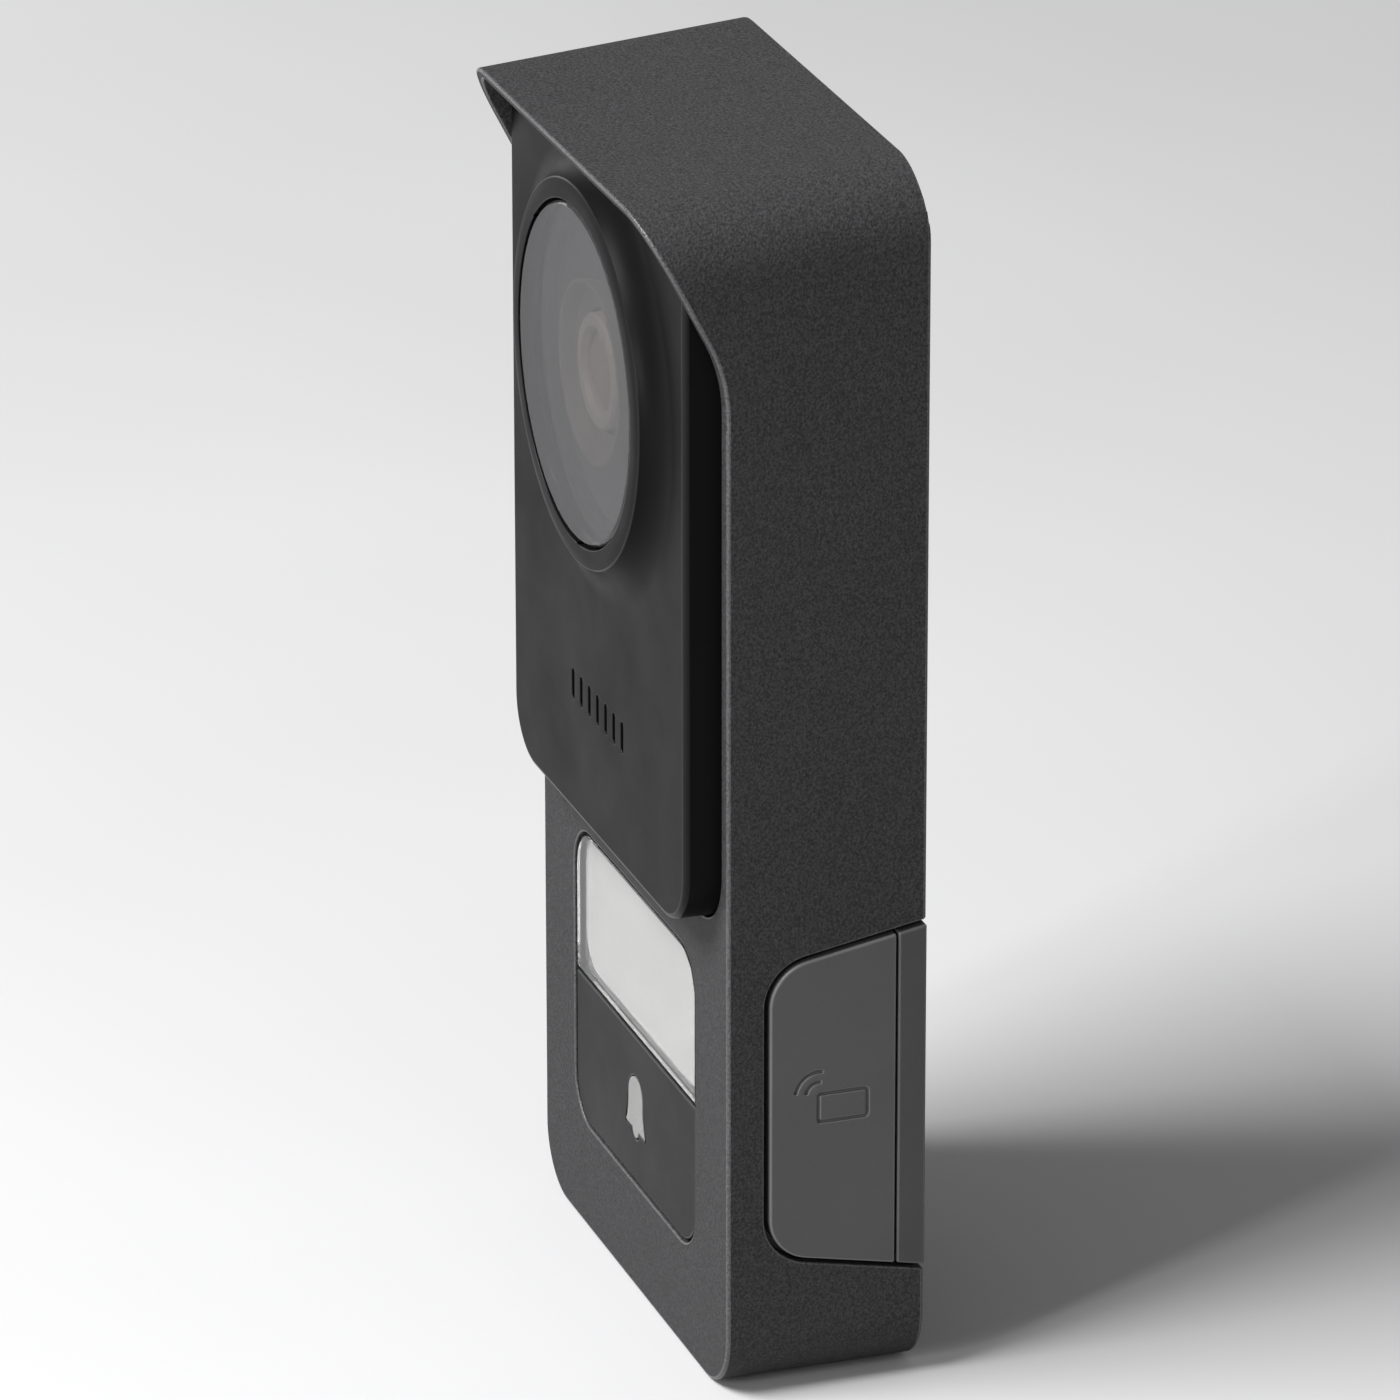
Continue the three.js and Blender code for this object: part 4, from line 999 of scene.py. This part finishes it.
def powder_coat(name, base, rough=0.62, sheen=0.1):
    """Fine-textured powder coat: tiny raised grains over a soft orange peel."""
    n = Nodes(name)
    grains = n.grains(2.6)
    fine = n.noise(2.6, detail=4, roughness=0.7)
    peel = n.noise(0.9, detail=2)
    slow = n.noise(0.045, detail=4)
    dark, light = colour(shaded(base, 0.68)), colour(shaded(base, 1.38))
    speckle = n.ramp(fine, dark, light, 0.38, 0.64)
    cloud = n.ramp(slow, colour(shaded(base, 0.93)), colour(shaded(base, 1.07)))
    n.put(n.shader, "Base Color", n.mix(0.7, cloud, speckle))
    n.put(n.shader, "Roughness", n.ramp(fine, rough - 0.1, rough + 0.14))
    n.put(n.shader, "Specular IOR Level", sheen)
    height = n.sum(n.sum(n.ramp(grains, 1.0, 0.0, 0.0, 0.6), n.sum(fine, 1.2, "MULTIPLY")), peel)
    n.bump(height, 0.05, 0.75)
    return n.material


def metal(name, base, rough, scratch=6.0):
    """Bare or plated metal with fine scratches along X and cloudy gloss."""
    n = Nodes(name)
    slow = n.noise(0.3, detail=5)
    stretch = n.add("ShaderNodeMapping")
    n.put(stretch, "Vector", n.place)
    stretch.inputs["Scale"].default_value = (0.06, 1, 1)
    lines = n.add("ShaderNodeTexNoise", Scale=scratch / MM, Detail=3)
    n.put(lines, "Vector", stretch.outputs["Vector"])
    dark, light = colour(shaded(base, 0.85)), colour(shaded(base, 1.08))
    n.put(n.shader, "Base Color", n.ramp(slow, dark, light))
    n.put(n.shader, "Metallic", 1.0)
    n.put(n.shader, "Roughness", n.ramp(lines.outputs["Fac"], rough * 0.8, rough * 1.25))
    n.bump(lines.outputs["Fac"], 0.004)
    return n.material


def pane(name, base, rough, alpha, spread=0.05):
    """Glass or clear plastic that shows what is behind it, with a trace of dust in its gloss."""
    n = Nodes(name)
    slow = n.noise(0.12, detail=4)
    haze = n.noise(0.5, detail=2)
    dark, light = colour(shaded(base, 1 - spread)), colour(shaded(base, 1 + spread))
    n.put(n.shader, "Base Color", n.ramp(slow, dark, light))
    n.put(n.shader, "Roughness", n.ramp(haze, rough, rough * 1.4))
    n.shader.inputs["Alpha"].default_value = alpha
    n.shader.inputs["IOR"].default_value = 1.5
    return n.material


def acrylic(name, base, rough=0.03):
    """Thick clear plastic that bends what is behind it."""
    n = Nodes(name)
    slow = n.noise(0.12, detail=4)
    haze = n.noise(0.5, detail=2)
    dark, light = colour(shaded(base, 0.99)), colour(shaded(base, 1.01))
    n.put(n.shader, "Base Color", n.ramp(slow, dark, light))
    n.put(n.shader, "Roughness", n.ramp(haze, rough, rough * 1.4))
    n.shader.inputs["Transmission Weight"].default_value = 1
    n.shader.inputs["IOR"].default_value = 1.49
    return n.material


def board(name, base):
    """Circuit board: solder resist with the faint relief of its tracks."""
    n = Nodes(name)
    tracks = n.add("ShaderNodeTexVoronoi", Scale=0.55 / MM)
    tracks.distance = "CHEBYCHEV"
    tracks.feature = "F1"
    n.put(tracks, "Vector", n.place)
    edge = n.ramp(tracks.outputs["Distance"], 0.0, 1.0, 0.3, 0.36)
    slow = n.noise(0.08, detail=4)
    body = n.ramp(slow, colour(shaded(base, 0.9)), colour(shaded(base, 1.1)))
    n.put(n.shader, "Base Color", n.mix(edge, body, colour(shaded(base, 1.35))))
    n.put(n.shader, "Roughness", n.ramp(slow, 0.35, 0.5))
    n.bump(edge, 0.03)
    return n.material


def paper(name, base):
    """Card or cone paper: short fibres in all directions."""
    n = Nodes(name)
    fibres = n.noise(1.6, detail=6, roughness=0.75)
    slow = n.noise(0.1, detail=3)
    dark, light = colour(shaded(base, 0.965)), colour(shaded(base, 1.02))
    n.put(n.shader, "Base Color", n.mix(0.7, n.ramp(slow, dark, light), n.ramp(fibres, dark, light)))
    n.put(n.shader, "Roughness", n.ramp(fibres, 0.75, 0.95))
    n.bump(fibres, 0.03)
    return n.material


def milky(name, base, rough=0.35, scatter=0.3):
    """Translucent white plastic with light in its depth."""
    n = Nodes(name)
    slow = n.noise(0.25, detail=4)
    fine = n.noise(3.0)
    dark, light = colour(shaded(base, 0.94)), colour(shaded(base, 1.02))
    n.put(n.shader, "Base Color", n.ramp(slow, dark, light))
    n.put(n.shader, "Roughness", n.ramp(fine, rough * 0.85, rough * 1.2))
    n.shader.inputs["Subsurface Weight"].default_value = scatter
    n.shader.inputs["Subsurface Radius"].default_value = (0.0006, 0.0006, 0.0006)
    n.bump(fine, 0.008)
    return n.material


def looks():
    """Each finish, and for some a second, lighter one on the rounded edges: a painted highlight along
    the edges, with some edge wear. Colours are sRGB.
    """
    coat = (49, 49, 50)
    satin = (14, 14, 15)
    panel = (74, 74, 75)
    casing = (62, 62, 63)
    button = (30, 30, 31)

    def moulded(name, base, rough=0.5, sheen=0.3):
        return (
            plastic(name, base, rough, grain=3.5, relief=0.012, spread=0.06, sheen=sheen),
            # The edge copy has a lighter base colour: a painted highlight along the rounded edges, with
            # some edge wear.
            plastic(name + "_edge", shaded(base, 1.25), rough * 0.8, 3.5, 0.01, 0.06, 0.4),
        )

    return {
        "powder_coat": (
            powder_coat("powder_coat", coat),
            # Lighter coat on the bevels: a painted highlight along the edges, with some edge wear.
            powder_coat("powder_coat_edge", shaded(coat, 1.25), rough=0.36, sheen=0.5),
        ),
        "satin_black": (
            plastic("satin_black", satin, 0.38, grain=5, relief=0.006, spread=0.05, sheen=0.04),
            # Lighter satin on the bevels: a painted highlight along the edges, with some edge wear.
            plastic("satin_black_edge", shaded(satin, 1.2), 0.32, 5, 0.004, 0.05, 0.15),
        ),
        "inner_plastic": moulded("inner_plastic", panel),
        "casing_plastic": moulded("casing_plastic", casing),
        "button_plastic": moulded("button_plastic", button, sheen=0.1),
        "black_rubber": (plastic("black_rubber", (26, 26, 26), 0.8, grain=3, relief=0.03),),
        # Baffle and barrel are really black; their light, warm colours are painted light, so they show
        # through the smoked window as if lit.
        "baffle_rubber_painted_light": (plastic("baffle_rubber_painted_light", (150, 136, 122), 0.7, grain=3, relief=0.02),),
        "barrel_plastic_painted_light": (plastic("barrel_plastic_painted_light", (222, 208, 194), 0.35, grain=3, relief=0.01),),
        "silicone": (plastic("silicone", (141, 143, 144), 0.65, grain=1.5, relief=0.02),),
        "smoked_window": (pane("smoked_window", (48, 48, 50), 0.05, 0.55),),
        "mask_print": (plastic("mask_print", (92, 92, 92), 0.6, grain=1.5, relief=0.001, spread=0.04),),
        # The lens's bright, warm colour is a painted reflection; the real glass is dark.
        "lens_glass": (plastic("lens_glass", (196, 166, 146), 0.04, grain=6, relief=0.0, sheen=1.0),),
        "clear_cover": (acrylic("clear_cover", (250, 250, 249)),),
        "white_card": (paper("white_card", (194, 194, 193)),),
        "milky_plastic": (milky("milky_plastic", (118, 119, 117)),),
        "green_board": (board("green_board", (30, 84, 52)),),
        "white_board": (board("white_board", (205, 205, 198)),),
        "black_plastic": (plastic("black_plastic", (30, 30, 30), 0.45, grain=3),),
        "green_plastic": (plastic("green_plastic", (47, 125, 70), 0.42, grain=3),),
        "blue_plastic": (plastic("blue_plastic", (45, 79, 134), 0.42, grain=3),),
        "steel": (metal("steel", (178, 180, 182), 0.32),),
        "dark_steel": (plastic("dark_steel", (52, 53, 54), 0.5, grain=1.6, relief=0.03, metal=0.6),),
        "tin": (metal("tin", (196, 197, 194), 0.28, scratch=3),),
        "copper": (metal("copper", (190, 112, 66), 0.32),),
        "flex_film": (plastic("flex_film", (188, 122, 48), 0.35, grain=1.2, relief=0.01),),
        "paper_cone": (paper("paper_cone", (38, 38, 38)),),
        "led_lens": (plastic("led_lens", (58, 48, 64), 0.12, grain=4, relief=0.002, sheen=0.8),),
        "white_led": (plastic("white_led", (230, 223, 174), 0.28, grain=3, relief=0.008),),
    }


OWN_LOOK = {
    "rear_casing": "casing_plastic",
    "call_button": "button_plastic",
    "window_mask": "mask_print",
    # The baffle and the barrel take light, warm finishes: painted light for the glow seen through the
    # smoked window.
    "light_baffle": "baffle_rubber_painted_light",
    "lens_barrel": "barrel_plastic_painted_light",
}
LOOK = looks()


# ---------------------------------------------------------------- pieces

BODY_OF = {
    name: body
    for body, names in frame["record"]["behaviour"]["bodies"].items()
    for name in names
}
SLOT_OF = {
    name: obj.material_slots[0].material.name.split(".")[0]
    for name, obj in frame["nodes"].items()
}


def as_object(node, mesh, bevel=0.2, segments=3, angle=40):
    """The visible piece that stands for a CAD node: sharp edges rounded, in metres."""
    clean(mesh, split=True)
    mesh.transform(Matrix.Scale(MM, 4))
    slot = SLOT_OF[node]
    finish = LOOK[OWN_LOOK.get(node, slot)]
    places = [min(polygon.material_index, EDGE) for polygon in mesh.polygons]
    mesh.materials.clear()
    for material in (finish[0], finish[-1]):
        mesh.materials.append(material)
    mesh.polygons.foreach_set("material_index", places)
    mesh.shade_smooth()
    obj = bpy.data.objects.new(node + "_look", mesh)
    bpy.context.scene.collection.objects.link(obj)
    if bevel:
        put_bevel(obj, bevel * MM, segments, angle)
    shading = obj.modifiers.new("shading", "WEIGHTED_NORMAL")
    shading.keep_sharp = True
    shading.weight = 70
    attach(obj, BODY_OF[node])
    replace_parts(obj, node)
    return obj


def build_shell():
    as_object("hood", hood(), bevel=0.25)
    as_object("inner_body", inner_body(), bevel=0.12, segments=2)
    as_object("rear_casing", rear_casing(), bevel=0.15, segments=2)
    as_object("wall_bracket", wall_bracket(), bevel=0.15)
    as_object("camera_fascia", camera_fascia(), bevel=0.14)


def build_keys():
    as_object("nameplate_cover", nameplate_cover(), bevel=0.35, segments=4)
    as_object("call_button", call_button(), bevel=0.25)
    as_object("bell_window", bell_window(), bevel=0.08, segments=2)


TURNED = [
    "lens_window", "window_gasket", "window_mask", "light_baffle", "lens_barrel", "front_element",
    "led_board", "ir_led_1", "ir_led_2", "ir_led_3", "ir_led_4", "speaker_gasket", "speaker_frame",
    "speaker_cone", "speaker_magnet", "capacitor", "volume_trimmer", "bell_light_guide",
    "switch_plunger",
]
TURNED_UPRIGHT = ["microphone_boot", "microphone"]


def build_turned():
    for node in TURNED:
        as_object(node, returned(node), bevel=0)
    for node in TURNED_UPRIGHT:
        as_object(node, returned(node, axis="Z"), bevel=0)


def build_rest(done):
    """All other pieces keep their CAD shape, with their edges rounded."""
    for node in sorted(set(frame["nodes"]) - done):
        low, high = box_mm(node)
        thinnest = min(high - low)
        shape = with_flat_faces(cad_mesh(node))
        as_object(node, shape, bevel=min(0.25, 0.12 * thinnest), segments=2, angle=50)


# ---------------------------------------------------------------- stage

FLOOR_HALF_WIDTH = 6
FLOOR_GAP = 0.0002


def towards(azimuth, elevation):
    """Direction from the object, in degrees: azimuth 0 is the street, 90 the right side."""
    turn, rise = math.radians(azimuth), math.radians(elevation)
    return Vector((
        math.cos(rise) * math.sin(turn), -math.cos(rise) * math.cos(turn), math.sin(rise)))


def area_light(name, azimuth, elevation, distance, size, power):
    """Lamp aimed at the middle of the object, in degrees, metres and watts."""
    data = bpy.data.lights.new(name, "AREA")
    data.shape = "RECTANGLE"
    data.size, data.size_y = size
    data.energy = power
    obj = bpy.data.objects.new(name, data)
    bpy.context.scene.collection.objects.link(obj)
    away = towards(azimuth, elevation)
    obj.location = away * distance
    obj.rotation_euler = (-away).to_track_quat("-Z", "Y").to_euler()


def camera():
    """Long lens, to the right of the object and above it, as in a catalogue picture."""
    distance = 1.339
    target = Vector((0, -0.015, 0))
    away = towards(70.77, 21.95)
    data = bpy.data.cameras.new("camera")
    data.lens = 257.1
    data.sensor_width = 36
    data.shift_x, data.shift_y = -0.0186, 0.0027
    data.clip_start, data.clip_end = 0.05, 50
    obj = bpy.data.objects.new("camera", data)
    bpy.context.scene.collection.objects.link(obj)
    obj.location = target + away * distance
    obj.rotation_euler = (-away).to_track_quat("-Z", "Y").to_euler()
    bpy.context.scene.camera = obj


def floor_plane():
    """Pale matt floor just under the object."""
    bm = bmesh.new()
    bmesh.ops.create_grid(bm, x_segments=8, y_segments=8, size=FLOOR_HALF_WIDTH)
    floor_mesh = bpy.data.meshes.new("floor")
    bm.to_mesh(floor_mesh)
    bm.free()
    floor = bpy.data.objects.new("floor", floor_mesh)
    bpy.context.scene.collection.objects.link(floor)
    floor.location.z = CAD_BOX[0].z - FLOOR_GAP
    n = Nodes("floor_paint")
    slow = n.noise(0.004, detail=2)
    n.put(n.shader, "Base Color", n.ramp(slow, colour((186, 186, 187)), colour((192, 192, 193))))
    n.shader.inputs["Roughness"].default_value = 0.9
    floor_mesh.materials.append(n.material)


def stage():
    floor_plane()
    world = bpy.data.worlds.new("studio")
    world.use_nodes = True
    sky = world.node_tree.nodes["Background"]
    sky.inputs["Color"].default_value = (1, 1, 1, 1)
    sky.inputs["Strength"].default_value = 0.27
    bpy.context.scene.world = world
    bpy.context.scene.view_settings.view_transform = "Standard"
    area_light("key", 2, 51, 1.5, (0.8, 0.6), 42)
    area_light("glint", 28, 13, 1.0, (0.08, 0.4), 4.5)
    area_light("skim", -72, 7, 1.1, (0.5, 0.25), 1)


# ---------------------------------------------------------------- the whole scene

camera()
stage()
build_shell()
build_keys()
build_turned()
build_rest({obj["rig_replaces"][0] for obj in bpy.data.objects if "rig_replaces" in obj})
